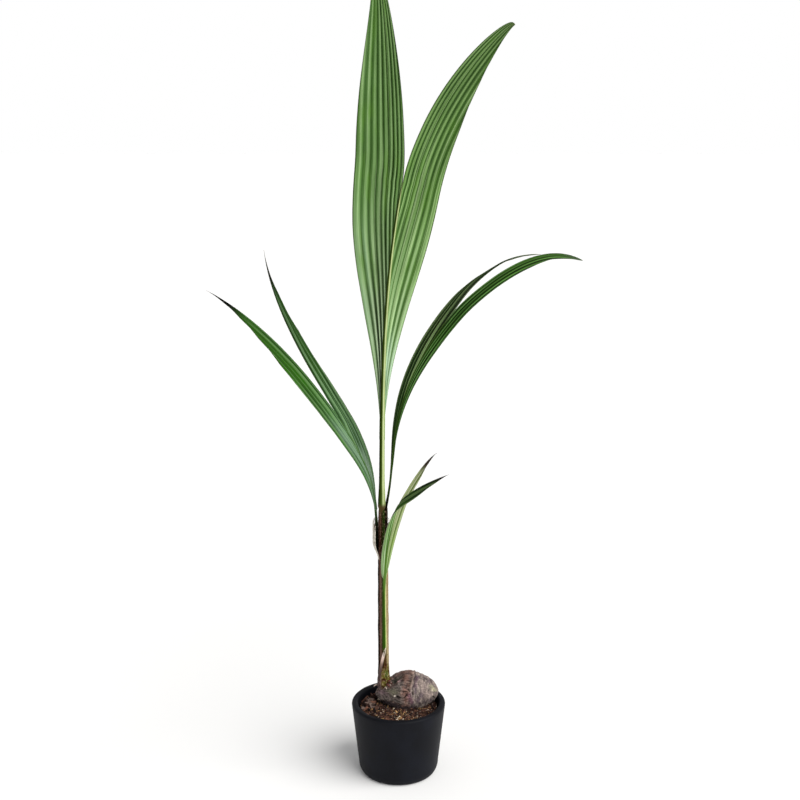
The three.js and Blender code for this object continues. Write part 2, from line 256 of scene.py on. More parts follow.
def finish_mesh(name, points, faces, slots, maps, tints, crease):
    mesh = bpy.data.meshes.new(name)
    mesh.from_pydata((np.asarray(points, float).reshape(-1, 3) * MM).tolist(), [], faces)
    mesh.polygons.foreach_set("material_index", np.asarray(slots, np.int32))
    if tints is not None:
        layer = mesh.color_attributes.new(name="Tint", type="FLOAT_COLOR", domain="POINT")
        flat = np.reshape(tints, (-1, 3))
        layer.data.foreach_set("color", np.c_[flat, np.ones(len(flat))].astype(np.float32).ravel())
    for title, places in maps.items():
        layer = mesh.uv_layers.new(name=title)
        layer.uv.foreach_set("vector", np.asarray(places, np.float32).ravel())
    work = bmesh.new()
    work.from_mesh(mesh)
    bmesh.ops.remove_doubles(work, verts=work.verts, dist=1e-6)
    bmesh.ops.recalc_face_normals(work, faces=work.faces)
    work.to_mesh(mesh)
    work.free()
    mesh.shade_smooth()
    mesh.set_sharp_from_angle(angle=math.radians(crease))
    return mesh


def piece(name, points, faces, materials, nodes=(), slots=None, maps=None, tints=None, crease=45):
    """A finished piece: a mesh that rides on the plant's body and stands for these CAD nodes."""
    faces = [list(map(int, face)) for face in faces]
    if slots is None:
        slots = [0] * len(faces)
    mesh = finish_mesh(name, points, faces, slots, maps or {}, tints, crease)
    for material in materials:
        mesh.materials.append(material)
    made = bpy.data.objects.new(name, mesh)
    bpy.context.scene.collection.objects.link(made)
    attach(made, "root")
    if nodes:
        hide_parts(*nodes)
    return made


def bundle_piece(name, bundle, materials, nodes=(), crease=45):
    points = np.concatenate(bundle.points)
    return piece(name, points, bundle.faces, materials, nodes, bundle.slots, crease=crease)


# ---- shader nodes ----
def colour(code):
    """A linear colour from an sRGB code such as 5d8a3c."""
    parts = [int(code[k:k + 2], 16) / 255 for k in (0, 2, 4)]
    return tuple(p / 12.92 if p <= 0.04045 else ((p + 0.055) / 1.055) ** 2.4 for p in parts) + (1.0,)


def laid_over(base, code, share):
    """These colours with another laid over them, by a share at each point."""
    return base + (np.array(colour(code)[:3]) - base) * np.clip(share, 0, 1)[..., None]


class Paint:
    """Builds a material from nodes. Each method adds a node and returns its output."""

    def __init__(self, name):
        self.material = bpy.data.materials.new(name)
        self.material.use_nodes = True
        self.tree = self.material.node_tree
        self.tree.nodes.clear()

    def add(self, kind, inputs=(), **settings):
        node = self.tree.nodes.new(kind)
        for key, value in settings.items():
            setattr(node, key, value)
        for key, value in dict(inputs).items():
            if isinstance(value, bpy.types.NodeSocket):
                self.tree.links.new(value, node.inputs[key])
            else:
                node.inputs[key].default_value = value
        return node

    def math(self, operation, a, b=0.0):
        return self.add("ShaderNodeMath", {0: a, 1: b}, operation=operation).outputs[0]

    def times(self, a, b):
        return self.math("MULTIPLY", a, b)

    def mix(self, share, a, b):
        a, b = (colour(c) if isinstance(c, str) else c for c in (a, b))
        node = self.add("ShaderNodeMix", {0: share, 6: a, 7: b}, data_type="RGBA")
        return node.outputs[2]

    def shade(self, a, factor):
        """A colour made lighter or darker by a number round 1."""
        grey = self.add("ShaderNodeCombineColor", {0: factor, 1: factor, 2: factor}).outputs[0]
        node = self.add("ShaderNodeMix", {0: 1.0, 6: a, 7: grey}, data_type="RGBA", blend_type="MULTIPLY")
        return node.outputs[2]

    def vary(self, a, noise_value, low, high):
        """A colour shaded from low to high as a noise rises through its middle range."""
        return self.shade(a, self.step(noise_value, 0.3, 0.7, low, high))

    def on_map(self, title):
        """Both places on a UV map."""
        place = self.add("ShaderNodeUVMap", uv_map=title).outputs[0]
        split = self.add("ShaderNodeSeparateXYZ", {0: place})
        return split.outputs[0], split.outputs[1]

    def tint(self):
        """The colour that the mesh holds at each point."""
        return self.add("ShaderNodeVertexColor", layer_name="Tint").outputs[0]

    def object_place(self):
        return self.add("ShaderNodeTexCoord").outputs["Object"]

    def vector(self, x, y, z):
        return self.add("ShaderNodeCombineXYZ", {0: x, 1: y, 2: z}).outputs[0]

    def noise(self, place, scale=1.0, detail=3.0):
        inputs = {"Vector": place, "Scale": scale, "Detail": detail, "Roughness": 0.55}
        return self.add("ShaderNodeTexNoise", inputs).outputs[0]

    def streaks(self, x, y, across, down, shift=0.0, detail=3.0):
        """Noise over a map that is stretched by these factors."""
        return self.noise(self.vector(self.times(x, across), self.times(y, down), shift), 1.0, detail)

    def step(self, value, low, high, first=0.0, last=1.0):
        """Eases from first to last as value goes from low to high."""
        inputs = {0: value, 1: low, 2: high, 3: first, 4: last}
        return self.add("ShaderNodeMapRange", inputs, interpolation_type="SMOOTHSTEP").outputs[0]

    def band(self, value, low, high, soft):
        rise = self.step(value, low - soft, low + soft)
        fall = self.step(value, high - soft, high + soft, 1.0, 0.0)
        return self.times(rise, fall)

    def ramp(self, value, stops):
        node = self.add("ShaderNodeValToRGB", {0: value})
        points = node.color_ramp.elements
        while len(points) < len(stops):
            points.new(0.5)
        for point, (place, code) in zip(points, stops):
            point.position = place
            point.color = colour(code)
        return node.outputs[0]

    def finish(self, base, roughness, height=None, depth=0.0005, strength=0.6, specular=0.5):
        shader = self.add("ShaderNodeBsdfPrincipled", {"Base Color": base, "Roughness": roughness})
        shader.inputs["Specular IOR Level"].default_value = specular
        if height is not None:
            bump = self.add("ShaderNodeBump", {"Height": height, "Distance": depth, "Strength": strength})
            self.tree.links.new(bump.outputs[0], shader.inputs["Normal"])
        out = self.add("ShaderNodeOutputMaterial")
        self.tree.links.new(shader.outputs[0], out.inputs[0])
        return self.material


# ---- pot ----
def pot_material():
    paint = Paint("matt_black_glaze")
    place = paint.object_place()
    grain = paint.noise(place, 900.0, 2.0)
    cloud = paint.noise(place, 14.0, 4.0)
    base = paint.mix(paint.step(cloud, 0.35, 0.7), "0b0c11", "101219")
    base = paint.mix(paint.times(paint.step(grain, 0.62, 0.75), 0.25), base, "2c2e31")
    gloss = paint.math("ADD", paint.times(cloud, 0.12), 0.5)
    return paint.finish(base, gloss, grain, 0.0002, 0.35, specular=0.1)


def pot_profile():
    """Radius and height of the pot's section, from the middle of its underside to its floor inside."""
    low, high = (np.array(corner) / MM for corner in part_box("pot"))
    rim, top = (high[0] - low[0]) / 2, high[2]
    foot, shoulder, shoulder_height = 83.0, 96.0, 25.0
    thickness, rounding, floor, floor_radius = 15.0, 5.5, 16.0, 86.0
    ring, recess = 9.0, 2.5
    turn = np.linspace(0, math.pi / 2, 9)
    lip = top - rounding
    inner = rim - thickness
    wall = [(lerp(shoulder, rim, k), lerp(shoulder_height, lip, k)) for k in np.linspace(0, 1, 26)]
    heel = [(lerp(foot, shoulder, math.sin(a)), lerp(shoulder_height, 0, math.cos(a))) for a in turn]
    crown = [(rim - rounding * (1 - math.cos(a)), lip + rounding * math.sin(a)) for a in turn]
    inside = [(inner + rounding * (1 - math.sin(a)), lip + rounding * math.cos(a)) for a in turn]
    bowl = [(lerp(inner, floor_radius, k), lerp(lip, floor, k)) for k in np.linspace(0, 1, 10)]
    base = [(0, recess), (foot - ring - 2, recess), (foot - ring, 0), (foot - 2, 0)]
    return np.array(base + heel + wall + crown + inside + bowl + [(0, floor)])


def make_pot():
    outline = pot_profile()
    sides = 160
    angle = TAU * np.arange(sides) / sides
    spread = np.stack([np.cos(angle), np.sin(angle)], -1)
    points = np.concatenate(
        [outline[:, None, :1] * spread[None], np.repeat(outline[:, None, 1:], sides, 1)], -1
    )
    maps = {"OFBake": grid_places(len(outline), sides, closed=True)}
    faces = grid(len(outline), sides, closed=True)
    piece("pot_shell", points, faces, [pot_material()], ["pot"], maps=maps, crease=40)


# ---- soil ----
BARK = [
    ("near_black_bark", "120a08"), ("dark_bark", "301c16"), ("brown_bark", "53372b"),
    ("rust_bark", "7a5342"), ("golden_coir", "b08a5c"), ("pale_chip", "ecdcc4"),
    ("dusty_bark", "705e56"),
]


def bark_material(name, code):
    paint = Paint(name)
    place = paint.object_place()
    grain = paint.noise(place, 700.0, 4.0)
    return paint.finish(colour(code), paint.step(grain, 0.2, 0.8, 0.7, 1.0), grain, 0.0006, 0.9,
                        specular=0.25)


def soil_material():
    paint = Paint("moist_bark_mix")
    place = paint.object_place()
    clod = paint.noise(place, 90.0, 5.0)
    fleck = paint.noise(place, 420.0, 3.0)
    base = paint.mix(paint.step(clod, 0.35, 0.65), "160c08", "38211a")
    base = paint.mix(paint.times(paint.step(fleck, 0.58, 0.7), 0.6), base, "6b4632")
    return paint.finish(base, 0.9, fleck, 0.0012, 1.0, specular=0.2)


def soil_height(x, y, high):
    dome = 5 * (1 - (x * x + y * y) / high[0] ** 2)
    return high[2] - 6.5 + dome + 2.2 * np.sin(x / 9 + 2 * np.sin(y / 13)) * np.cos(y / 8)


def chip(centre, size, turns):
    """A split of bark: a flat block with uneven corners, tilted at random."""
    corners = np.array([[x, y, z] for x in (-1, 1) for y in (-1, 1) for z in (-1, 1)], float)
    corners *= 1 + turns.uniform(-0.35, 0.35, corners.shape)
    taper = turns.uniform(0.35, 1.0)
    corners[:, 1:] *= np.where(corners[:, :1] > 0, taper, 1)
    block = corners * size * np.array([0.5, 0.25, 0.13]) * turns.uniform(0.7, 1.3, 3)
    basis, _ = np.linalg.qr(turns.normal(size=(3, 3)) * np.array([1, 1, 0.55])[:, None])
    faces = [(0, 1, 3, 2), (4, 6, 7, 5), (0, 4, 5, 1), (2, 3, 7, 6), (0, 2, 6, 4), (1, 5, 7, 3)]
    return centre + block @ basis.T, faces


def nut_reach(x, y):
    """How far a spot on the soil lies outside the nut's plan, in millimetres."""
    u = np.clip((x - NUT["tip"][0]) / (NUT["end"][0] - NUT["tip"][0]), 0.01, 0.99)
    past = np.maximum(np.maximum(NUT["tip"][0] - x, x - NUT["end"][0]), 0)
    return np.hypot(np.maximum(abs(y - NUT["tip"][1]) - nut_radius(u), 0), past)


def make_soil():
    high = np.array(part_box("soil")[1]) / MM
    edge = high[0]
    rings, sides = 60, 150
    radius = np.linspace(0, 1, rings)[:, None] * (edge - 0.8) * np.ones(sides)
    angle = TAU * np.arange(sides) / sides
    x, y = radius * np.cos(angle), radius * np.sin(angle)
    flat = np.stack([x, y, np.zeros_like(x)], -1)
    height = soil_height(x, y, high) + 1.8 * rough(flat, 7.0, 4) + 1.0 * rough(flat, 2.5, 2, 5.0)
    height = np.where(radius > edge - 2, height - 2.0, height)
    points = np.stack([x, y, height], -1)
    piece("soil_bed", points, grid(rings, sides, closed=True), [soil_material()], ["soil"],
          maps={"OFBake": grid_disc(rings, sides)}, crease=60)
    make_bark(high, edge)


def grid_disc(rings, sides):
    """Map places for a disc made of rings, laid out as the disc lies."""
    places = grid_places(rings, sides, closed=True)
    turn, out = places[..., 0] * TAU, places[..., 1] * 0.48
    return np.stack([0.5 + out * np.cos(turn), 0.5 + out * np.sin(turn)], -1)


CHIP_COUNT, LARGE_CHIP_COUNT, THREAD_COUNT = 4600, 60, 500
# The sizes of the small chips in millimetres, and how common each is.
CHIP_SIZES, CHIP_SHARES = [2.4, 3.4, 4.8, 7.5], [0.34, 0.38, 0.22, 0.06]
GOLDEN_SPOT = (22, -62)


def make_bark(high, edge):
    """The loose chips and threads on the soil, with more golden ones round one spot at the front."""
    turns = np.random.default_rng(21)
    chips, threads = Bundle(), Bundle()
    while len(chips.points) < CHIP_COUNT:
        x, y = turns.uniform(-edge, edge, 2)
        size = turns.choice(CHIP_SIZES, p=CHIP_SHARES)
        if math.hypot(x, y) > edge - 0.4 * size or nut_reach(x, y) < -0.5:
            continue
        if nut_reach(x, y) < 1 and turns.uniform() < 0.7:
            continue
        away = (x - GOLDEN_SPOT[0]) ** 2 + (y - GOLDEN_SPOT[1]) ** 2
        golden = 0.035 + 0.15 * math.exp(-away / 1300)
        shares = [0.36, 0.26, 0.18, 0.12, golden, 0.9 * golden, 0.06]
        tone = turns.choice(7, p=np.array(shares) / sum(shares))
        z = soil_height(x, y, high) + turns.uniform(-0.2, 0.4) * size
        chips.add(*chip(np.array([x, y, z]), size, turns), tone)
    for _ in range(LARGE_CHIP_COUNT):
        x, y = turns.normal(-66, 13), turns.normal(28, 22)
        size = turns.uniform(9, 19)
        if math.hypot(x, y) > edge - 0.5 * size or nut_reach(x, y) < 2:
            continue
        spot = np.array([x, y, soil_height(x, y, high) + turns.uniform(0, 6)])
        chips.add(*chip(spot, size, turns), turns.choice([0, 1, 2, 3, 6], p=[0.15, 0.3, 0.2, 0.1, 0.25]))
    while len(threads.points) < THREAD_COUNT:
        x, y = turns.uniform(-edge, edge, 2)
        if math.hypot(x, y) > edge - 12 or nut_reach(x, y) < 1:
            continue
        threads.add(*coir(np.array([x, y, soil_height(x, y, high) + 1.5]), turns),
                    turns.choice([1, 2, 3, 4], p=[0.3, 0.35, 0.25, 0.1]))
    materials = [bark_material(name, code) for name, code in BARK]
    bundle_piece("bark_chips", chips, materials, crease=25)
    bundle_piece("coir_threads", threads, materials, crease=80)


def coir(start, turns):
    """A short curved thread that lies on the soil."""
    heading = turns.uniform(0, TAU)
    bend = turns.uniform(-0.5, 0.5)
    step = turns.uniform(1.2, 2.6)
    path = [start]
    for k in range(7):
        heading += bend
        rise = 0.9 * math.sin(k * 1.1 + turns.uniform(0, 1)) * 0.6
        path.append(path[-1] + np.array([step * math.cos(heading), step * math.sin(heading), rise]))
    strand = Bundle()
    strand.tube(path, turns.uniform(0.18, 0.42), 3)
    return strand.points[0], strand.faces


# ---- nut ----
def nut_radius(u):
    u = np.asarray(u, float)
    rise = np.sin(math.pi / 2 * np.clip(u / NUT["widest"], 0, 1)) ** NUT["pointed"]
    fall = (1 - np.clip((u - NUT["widest"]) / (1 - NUT["widest"]), 0, 1) ** 2) ** NUT["rounded"]
    return NUT["radius"] * np.where(u < NUT["widest"], rise, fall)


# Lines on the husk, each a list of (share of the length, degrees round it; 90 is up, 180 the front).
CREASE = [(0.615, 20), (0.61, 60), (0.6, 90), (0.58, 120), (0.55, 145), (0.53, 155)]
NICKS = [[(0.52, 152), (0.535, 156)], [(0.44, 158), (0.485, 156)], [(0.58, 160), (0.59, 166)]]
FLAP_EDGE = [(0.0, 146), (0.25, 141), (0.34, 133), (0.4, 128)]
UNDER_EDGE = [(0.0, 205), (0.07, 200), (0.18, 186), (0.28, 186), (0.42, 196)]
# Marks on the husk in the order they are painted: a line, its width and lift in millimetres, and
# its tone and strength. The dark tones of the dents and cracks are painted shade.
HUSK_MARKS = {
    "belly": ([(0.14, 198), (0.3, 208), (0.46, 214)], 13.0, 7.0, None, 0.0),
    "shoulder": ([(0.74, 80), (0.88, 90)], 17.0, -9.0, None, 0.0),
    "purple": ([(0.08, 152), (0.17, 158)], 9.0, 0.0, "5f4850", 0.6),
    "green": ([(0.22, 152), (0.31, 158)], 8.0, 0.0, "5b5b45", 0.6),
    "pale": ([(0.7, 134), (0.8, 160), (0.81, 178)], 9.0, 0.0, "867770", 0.8),
    "streak": ([(0.66, 98), (0.645, 120), (0.625, 143)], 3.6, 0.0, "5a454f", 0.8),
    "mauve": ([(0.525, 170), (0.55, 180), (0.57, 190)], 5.5, 0.0, "73515c", 0.75),
    "bump": ([(0.42, 160), (0.45, 158)], 5.0, 2.2, "8d6a5e", 0.6),
    "crease": (CREASE, 3.2, 1.8, "8f7c70", 0.65),
    "end_patch": ([(0.9, 138), (0.925, 150)], 7.0, 1.6, "9b967a", 0.85),
    # The dark tones of the marks from hollow to back_crack are painted shade in the dents they cut.
    "hollow": ([(0.29, 113), (0.39, 105)], 8.5, -7.0, "272b22", 0.9),
    "groove": ([(0.63, 30), (0.625, 95), (0.605, 120), (0.6, 135), (0.585, 155), (0.585, 163)],
               1.9, -1.5, "2a1d1a", 0.65),
    "mouth": ([(0.32, 170), (0.37, 174), (0.42, 174), (0.49, 167)], 1.9, -4.6, "140c0b", 1.0),
    "nicks": (NICKS, 1.5, -3.2, "1d1312", 0.9),
    "notch": ([(0.895, 190), (0.915, 205), (0.935, 228)], 2.8, -4.5, "150e0c", 1.0),
    "shaded_end": ([(0.87, 236)], 8.0, -3.0, "1c1412", 0.9),
    "back_crack": ([(0.3, 330), (0.45, 322), (0.6, 326), (0.75, 318)], 2.2, -2.0, "2a1f1d", 0.9),
    "pink": ([(0.365, 124), (0.385, 121)], 2.4, 0.0, "a5878a", 1.0),
    "chip": ([(0.295, 169), (0.31, 168)], 1.7, 0.0, "d6cabd", 1.3),
}


def husk_near(u, turn, line, width):
    """1 on a line over the husk, falling off over this width in millimetres."""
    size = np.array([NUT["end"][0] - NUT["tip"][0], math.radians(44)])
    spot = np.stack([u, turn], -1) * size
    line = np.array(line, float).reshape(-1, 2) * size
    if len(line) == 1:
        line = np.repeat(line, 2, 0)
    closest = np.full(u.shape, 1e9)
    for start, stop in zip(line[:-1], line[1:]):
        way = stop - start
        share = np.clip(((spot - start) @ way) / max(way @ way, 1e-9), 0, 1)
        closest = np.minimum(closest, np.linalg.norm(spot - start - share[..., None] * way, axis=-1))
    return np.exp(-(closest / width) ** 2)


def flap_share(u, turn):
    """Where the loose flap of husk lies, from the beak to the front of the nut."""
    upper = np.interp(u, *np.array(FLAP_EDGE).T)
    lower = np.interp(u, *np.array(UNDER_EDGE).T)
    inside = smooth(turn - upper, -1.6, 1.6) * smooth(lower - turn, -2, 2)
    return inside * smooth(u, 0.47, 0.38)


def husk_place(u, turn):
    """A point of the bare ridged nut, the way out from its axis, and its radius there."""
    angle = np.radians(turn)
    radius = nut_radius(u)
    ridge = 1 + NUT["ridge_depth"] * np.cos(NUT["ridges"] * (angle - 0.5))
    axis = lerp(NUT["tip"][2], NUT["end"][2], u) + NUT["rise"] * np.sin(math.pi * u)
    x = lerp(NUT["tip"][0], NUT["end"][0], u)
    way = np.stack([np.zeros_like(u), np.cos(angle), np.sin(angle)], -1)
    middle = np.stack([x, np.full_like(u, NUT["tip"][1]), axis], -1)
    return middle + way * (radius * ridge)[..., None], way, radius


def make_husk(u, turn):
    """The husk's surface and its colours, at these shares of its length and degrees round it."""
    place, way, radius = husk_place(u, turn)
    wander = turn + 6 * rough(place, 12.0, 3, 2.0)
    shift = u - 0.008 + 0.02 * rough(place, 11.0, 3, 8.0)
    flap = flap_share(shift, wander)
    shares, degrees = np.array(CREASE).T
    right = smooth(u - np.interp(turn, degrees, shares), 0.0, 0.04)
    left = 1 - right
    lengthways, girth, flat_girth = [0.3, 1, 1], [1, 0.3, 0.3], [1, 0.35, 0.35]
    coarse = rough(place, 12.0, 3, 3.0)
    strands = rough(place * lengthways, 3.6, 4)
    streaks = rough(place * girth, 4.2, 4, 9.0)
    wide = rough(place * flat_girth, 9.0, 2, 17.0)
    grit = rough(place, 2.4, 2, 11.0)
    # below marks the nut's underside, where the tone 251d20 laid over it is painted shade.
    below = smooth(turn - np.interp(u, *np.array(UNDER_EDGE).T), 0, 8) * smooth(u, 0.66, 0.5)
    below *= smooth(turn, 300, 260)

    lift = left * (1.6 * strands + 2.2 * coarse) + right * (0.9 * streaks + 1.8 * rough(place, 18.0, 2, 6.0))
    lift += 0.5 * grit + 3.8 * flap
    tint = np.ones(u.shape + (3,)) * colour("5b4a46")[:3]
    for code, share in (
            ("2e2422", left * smooth(-strands, 0.0, 0.5) * 0.8),
            ("7b675d", left * smooth(strands, 0.05, 0.5) * 0.8),
            ("63483f", left * (1 - flap) * smooth(u, 0.3, 0.42) * smooth(coarse, -0.4, 0.3) * 0.8),
            ("615955", flap * 0.75), ("3c332f", flap * smooth(-strands, 0.05, 0.5) * 0.7),
            ("706661", right * 0.9), ("564750", right * smooth(-wide, 0.05, 0.5) * 0.7),
            ("8c7f78", right * smooth(wide, 0.1, 0.5) * 0.7),
            ("4a3e3e", right * smooth(-streaks, 0.1, 0.6) * 0.6),
            ("97897f", right * smooth(streaks, 0.15, 0.6) * 0.6), ("251d20", below * 0.9)):
        tint = laid_over(tint, code, share)
    for name, (line, width, rise, code, share) in HUSK_MARKS.items():
        if name == "nicks":
            near = sum(husk_near(u, turn, nick, width) for nick in line)
        else:
            near = husk_near(shift, wander, line, width)
        lift += rise * near
        if code:
            tint = laid_over(tint, code, share * near)
    fade = smooth(radius / NUT["radius"], 0.02, 0.3)
    veins = 0.35 * (right * streaks + left * strands)
    return place + way * (lift * fade)[..., None], tint * (1 + 0.5 * grit + 0.3 * coarse + veins)[..., None]


def husk_material():
    paint = Paint("dry_husk")
    u, turn = paint.on_map("NutUV")
    place = paint.object_place()
    fibre = paint.streaks(u, turn, 14.0, 130.0, detail=5.0)
    spots = paint.noise(place, 330.0, 3.0)
    cloud = paint.noise(place, 38.0, 4.0)
    base = paint.vary(paint.tint(), fibre, 0.78, 1.2)
    base = paint.mix(paint.times(paint.step(spots, 0.6, 0.7), 0.45), base, "221815")
    base = paint.mix(paint.times(paint.step(spots, 0.4, 0.3), 0.3), base, "a08c7e")
    height = paint.math("ADD", paint.times(fibre, 0.6), paint.times(spots, 0.5))
    return paint.finish(base, paint.step(cloud, 0.3, 0.7, 0.72, 0.92), height, 0.001, 0.8, specular=0.25)


def make_nut():
    rows, columns = 240, 280
    u = 0.5 - 0.5 * np.cos(math.pi * np.linspace(0, 1, rows))
    u = np.clip(u, 0.0006, 0.9985)
    turn = 360 * np.arange(columns) / columns
    points, tint = make_husk(*np.meshgrid(u, turn, indexing="ij"))
    for end in (0, -1):
        points[end] = points[end].mean(0)
        tint[end] = tint[end].mean(0)
    places = grid_places(rows, columns, closed=True)
    own = places.copy()
    own[..., 1] = u[np.round(places[..., 1] * (rows - 1)).astype(int)]
    maps = {"NutUV": own[..., ::-1], "OFBake": places}
    piece("husked_nut", points, grid(rows, columns, closed=True), [husk_material()],
          ["coconut"], maps=maps, tints=tint, crease=70)


# ---- stem ----
def stem_at(z):
    low, high = STEM["path"][0][2], STEM["path"][3][2]
    t = np.clip((np.asarray(z, float) - low) / (high - low), 0, 1)
    flare = 1 - smooth(t, 0, STEM["flare_end"])
    radius = lerp(lerp(STEM["waist"], STEM["top"], t), STEM["foot"], flare)
    return bezier(STEM["path"], t.ravel()).reshape(t.shape + (3,)), radius


def stem_material():
    paint = Paint("fibrous_sheaths")
    turn, rise = paint.on_map("StemUV")
    fine = paint.streaks(turn, rise, 70.0, 22.0, detail=4.0)
    streak = paint.streaks(turn, rise, 24.0, 5.0, 2.0)
    drift = paint.times(paint.math("SUBTRACT", streak, 0.5), 0.07)
    wandering = paint.math("ADD", turn, drift)
    # Round the lower stem, the black band from turn 0.47 to 0.625 is painted shade on the side turned from
    # the light, and the pale stop at 0.835 is a painted highlight line.
    lower = paint.ramp(wandering, [
        (0.0, "806a4c"), (0.12, "5a4638"), (0.3, "45342a"), (0.42, "2a1c16"), (0.47, "060202"),
        (0.625, "100504"), (0.65, "5c4036"), (0.67, "806556"), (0.7, "7a6050"), (0.72, "4a4028"),
        (0.74, "2c380c"), (0.775, "2c480a"), (0.805, "567022"), (0.835, "a8a86c"), (0.87, "a2946c"),
        (0.93, "93805c"), (1.0, "806a4c"),
    ])
    upper = paint.ramp(wandering, [
        (0.0, "1e1814"), (0.1, "3c2e26"), (0.4, "3a2a22"), (0.5, "241510"), (0.6, "3a2019"),
        (0.645, "6a4a3c"), (0.68, "3c2014"), (0.715, "2c2a0c"), (0.75, "16300a"), (0.79, "2c420f"),
        (0.83, "0c0906"), (1.0, "14100a"),
    ])
    base = paint.mix(paint.step(rise, 0.49, 0.53), lower, upper)
    foot = paint.ramp(paint.streaks(turn, rise, 14.0, 110.0, 5.0), [
        (0.33, "1f0f07"), (0.43, "4a2c14"), (0.5, "6c5a2c"), (0.56, "4b5a1c"), (0.62, "7f6a40"),
        (0.7, "b09a72"),
    ])
    base = paint.mix(paint.times(paint.step(rise, 0.25, 0.28, 1.0, 0.0),
                                paint.band(turn, 0.69, 1.1, 0.03)), base, foot)
    for code, amount, rises, turns in (
            ("6e5d5c", 0.8, (-1.0, 0.225, 0.01), (0.48, 0.68, 0.03)),
            ("3a1208", 0.9, (0.25, 0.33, 0.012), (0.7, 0.86, 0.025)),
            ("3f6428", paint.step(fine, 0.4, 0.6, 0.0, 0.85), (0.228, 0.246, 0.008), (0.78, 0.9, 0.02)),
            ("5a281c", 0.8, (0.196, 0.216, 0.006), (0.84, 1.04, 0.02))):
        patch = paint.times(paint.band(rise, *rises), paint.band(turn, *turns))
        base = paint.mix(paint.times(patch, amount), base, code)
    speckle = paint.streaks(turn, rise, 46.0, 170.0, 8.0, detail=2.0)
    base = paint.mix(paint.times(paint.step(speckle, 0.57, 0.64), 0.75), base, "2a140c")
    base = paint.mix(paint.times(paint.step(speckle, 0.42, 0.36), 0.45), base, "b39a80")
    base = paint.vary(base, fine, 0.7, 1.2)
    height = paint.math("ADD", fine, paint.times(speckle, 0.4))
    return paint.finish(base, paint.step(fine, 0.3, 0.7, 0.85, 0.6), height, 0.0009, 0.9, specular=0.0)


# The edges of the stem's overlapping sheaths: the turn each lies at, the heights it runs between
# and how far it stands out, in millimetres.
SHEATH_EDGES = [
    (0.60, 200, 600, 1.0), (0.735, 250, 640, 0.9), (0.9, 205, 520, 0.9), (0.16, 215, 610, 1.0),
    (0.36, 230, 560, 0.9),
]


def round_stem(centre, out, angle, z):
    """Points this far out from the stem's axis, at these angles and heights."""
    return np.stack([centre[..., 0] + out * np.cos(angle), centre[..., 1] + out * np.sin(angle), z], -1)


def make_stem():
    low, high = STEM["path"][0][2], STEM["path"][3][2]
    rows, columns = 260, 110
    z = np.linspace(low, high, rows)[:, None] * np.ones(columns)
    turn = np.ones((rows, 1)) * np.arange(columns) / columns
    angle = turn * TAU
    centre, radius = stem_at(z)
    folds = np.stack([np.cos(angle) * 14, np.sin(angle) * 14, z * 0.06], -1)
    radius = radius + 0.7 * rough(folds, 2.6, 4) + 0.35 * np.cos(angle * 17 + 2 * waves(z / 160, 3))
    for edge, from_z, to_z, lift in SHEATH_EDGES:
        wander = edge + 0.012 * waves(z / 190, int(edge * 100))
        step = smooth((turn - wander) % 1.0, 0.0, 0.012) * smooth((turn - wander) % 1.0, 0.22, 0.05)
        radius = radius + lift * step * smooth(z, from_z, from_z + 12) * smooth(z, to_z, to_z - 25)
    radius = radius * lerp(0.62, 1.0, smooth(z, 184, 212))
    knots = smooth(z, 262, 205)
    knotted = np.stack([np.cos(angle) * 15, np.sin(angle) * 15, z], -1)
    radius = radius + knots * 1.4 * rough(knotted, 7.0, 3, 4.0)
    torn = high - 5 * np.abs(waves(turn * 3, 8)) - 5 * np.exp(-((turn - 0.55) / 0.05) ** 2)
    z = np.where(z > torn, torn, z)
    centre, _ = stem_at(z)
    points = round_stem(centre, radius, angle, z)
    inner = points[-1] * [0.0, 0.0, 1.0]
    inner[:, :2] = lerp(centre[-1, :, :2], points[-1, :, :2], 0.72)
    well = inner - [0, 0, 6]
    bottom = well.mean(0)[None, None] * np.ones((1, columns, 1))
    points = np.concatenate([points, inner[None], well[None], bottom])
    places = grid_places(rows + 3, columns, closed=True)
    own = places.copy()
    heights = np.r_[z.mean(1), [high] * 3] * MM
    own[..., 1] = heights[np.round(places[..., 1] * (rows + 2)).astype(int)]
    piece("stem_sheaths", points, grid(rows + 3, columns, closed=True), [stem_material()],
          ["stem"], maps={"StemUV": own, "OFBake": places}, crease=60)


# Where each root tip starts, its way, its thickness, and 0 for a red one or 1 for a pale one.
ROOT_TIPS = [
    ((-27, 8, 214), (6, -8, -6), 2.5, 0), ((-25, 10, 221), (9, -7, -2), 2.0, 0),
    ((-22, 14, 215), (9, -6, -3), 2.0, 0), ((-24, 9, 207), (8, -7, -4), 1.7, 0),
    ((-31, 6, 206), (3, -6, -3), 1.5, 1), ((-21, 6, 213), (3, -4, -3), 1.0, 1),
    ((-19, 5, 219), (2, -4, 1), 0.8, 1), ((-52, 20, 206), (-8, -4, -3), 1.6, 1),
]


def root_material(name, low, high, roughness):
    paint = Paint(name)
    tone = paint.noise(paint.object_place(), 160.0, 3.0)
    return paint.finish(paint.mix(paint.step(tone, 0.35, 0.65), low, high), roughness, tone, 0.0003)


def make_roots():
    """The pale and reddish root tips that break out round the stem's foot."""
    red = root_material("young_root", "2c0f0b", "6e3329", 0.55)
    pale = root_material("pale_root", "8f7c70", "c9b9ac", 0.6)
    roots = Bundle()
    for start, way, thick, slot in ROOT_TIPS:
        t = np.linspace(0, 1, 9)[:, None]
        path = np.array(start) + t * np.array(way) + np.sin(t * math.pi) * np.array([0, -1.5, 2.0])
        roots.tube(path, thick * np.sqrt(1 - 0.94 * np.linspace(0, 1, 9) ** 2), 12, slot)
    bundle_piece("root_tips", roots, [red, pale], crease=60)


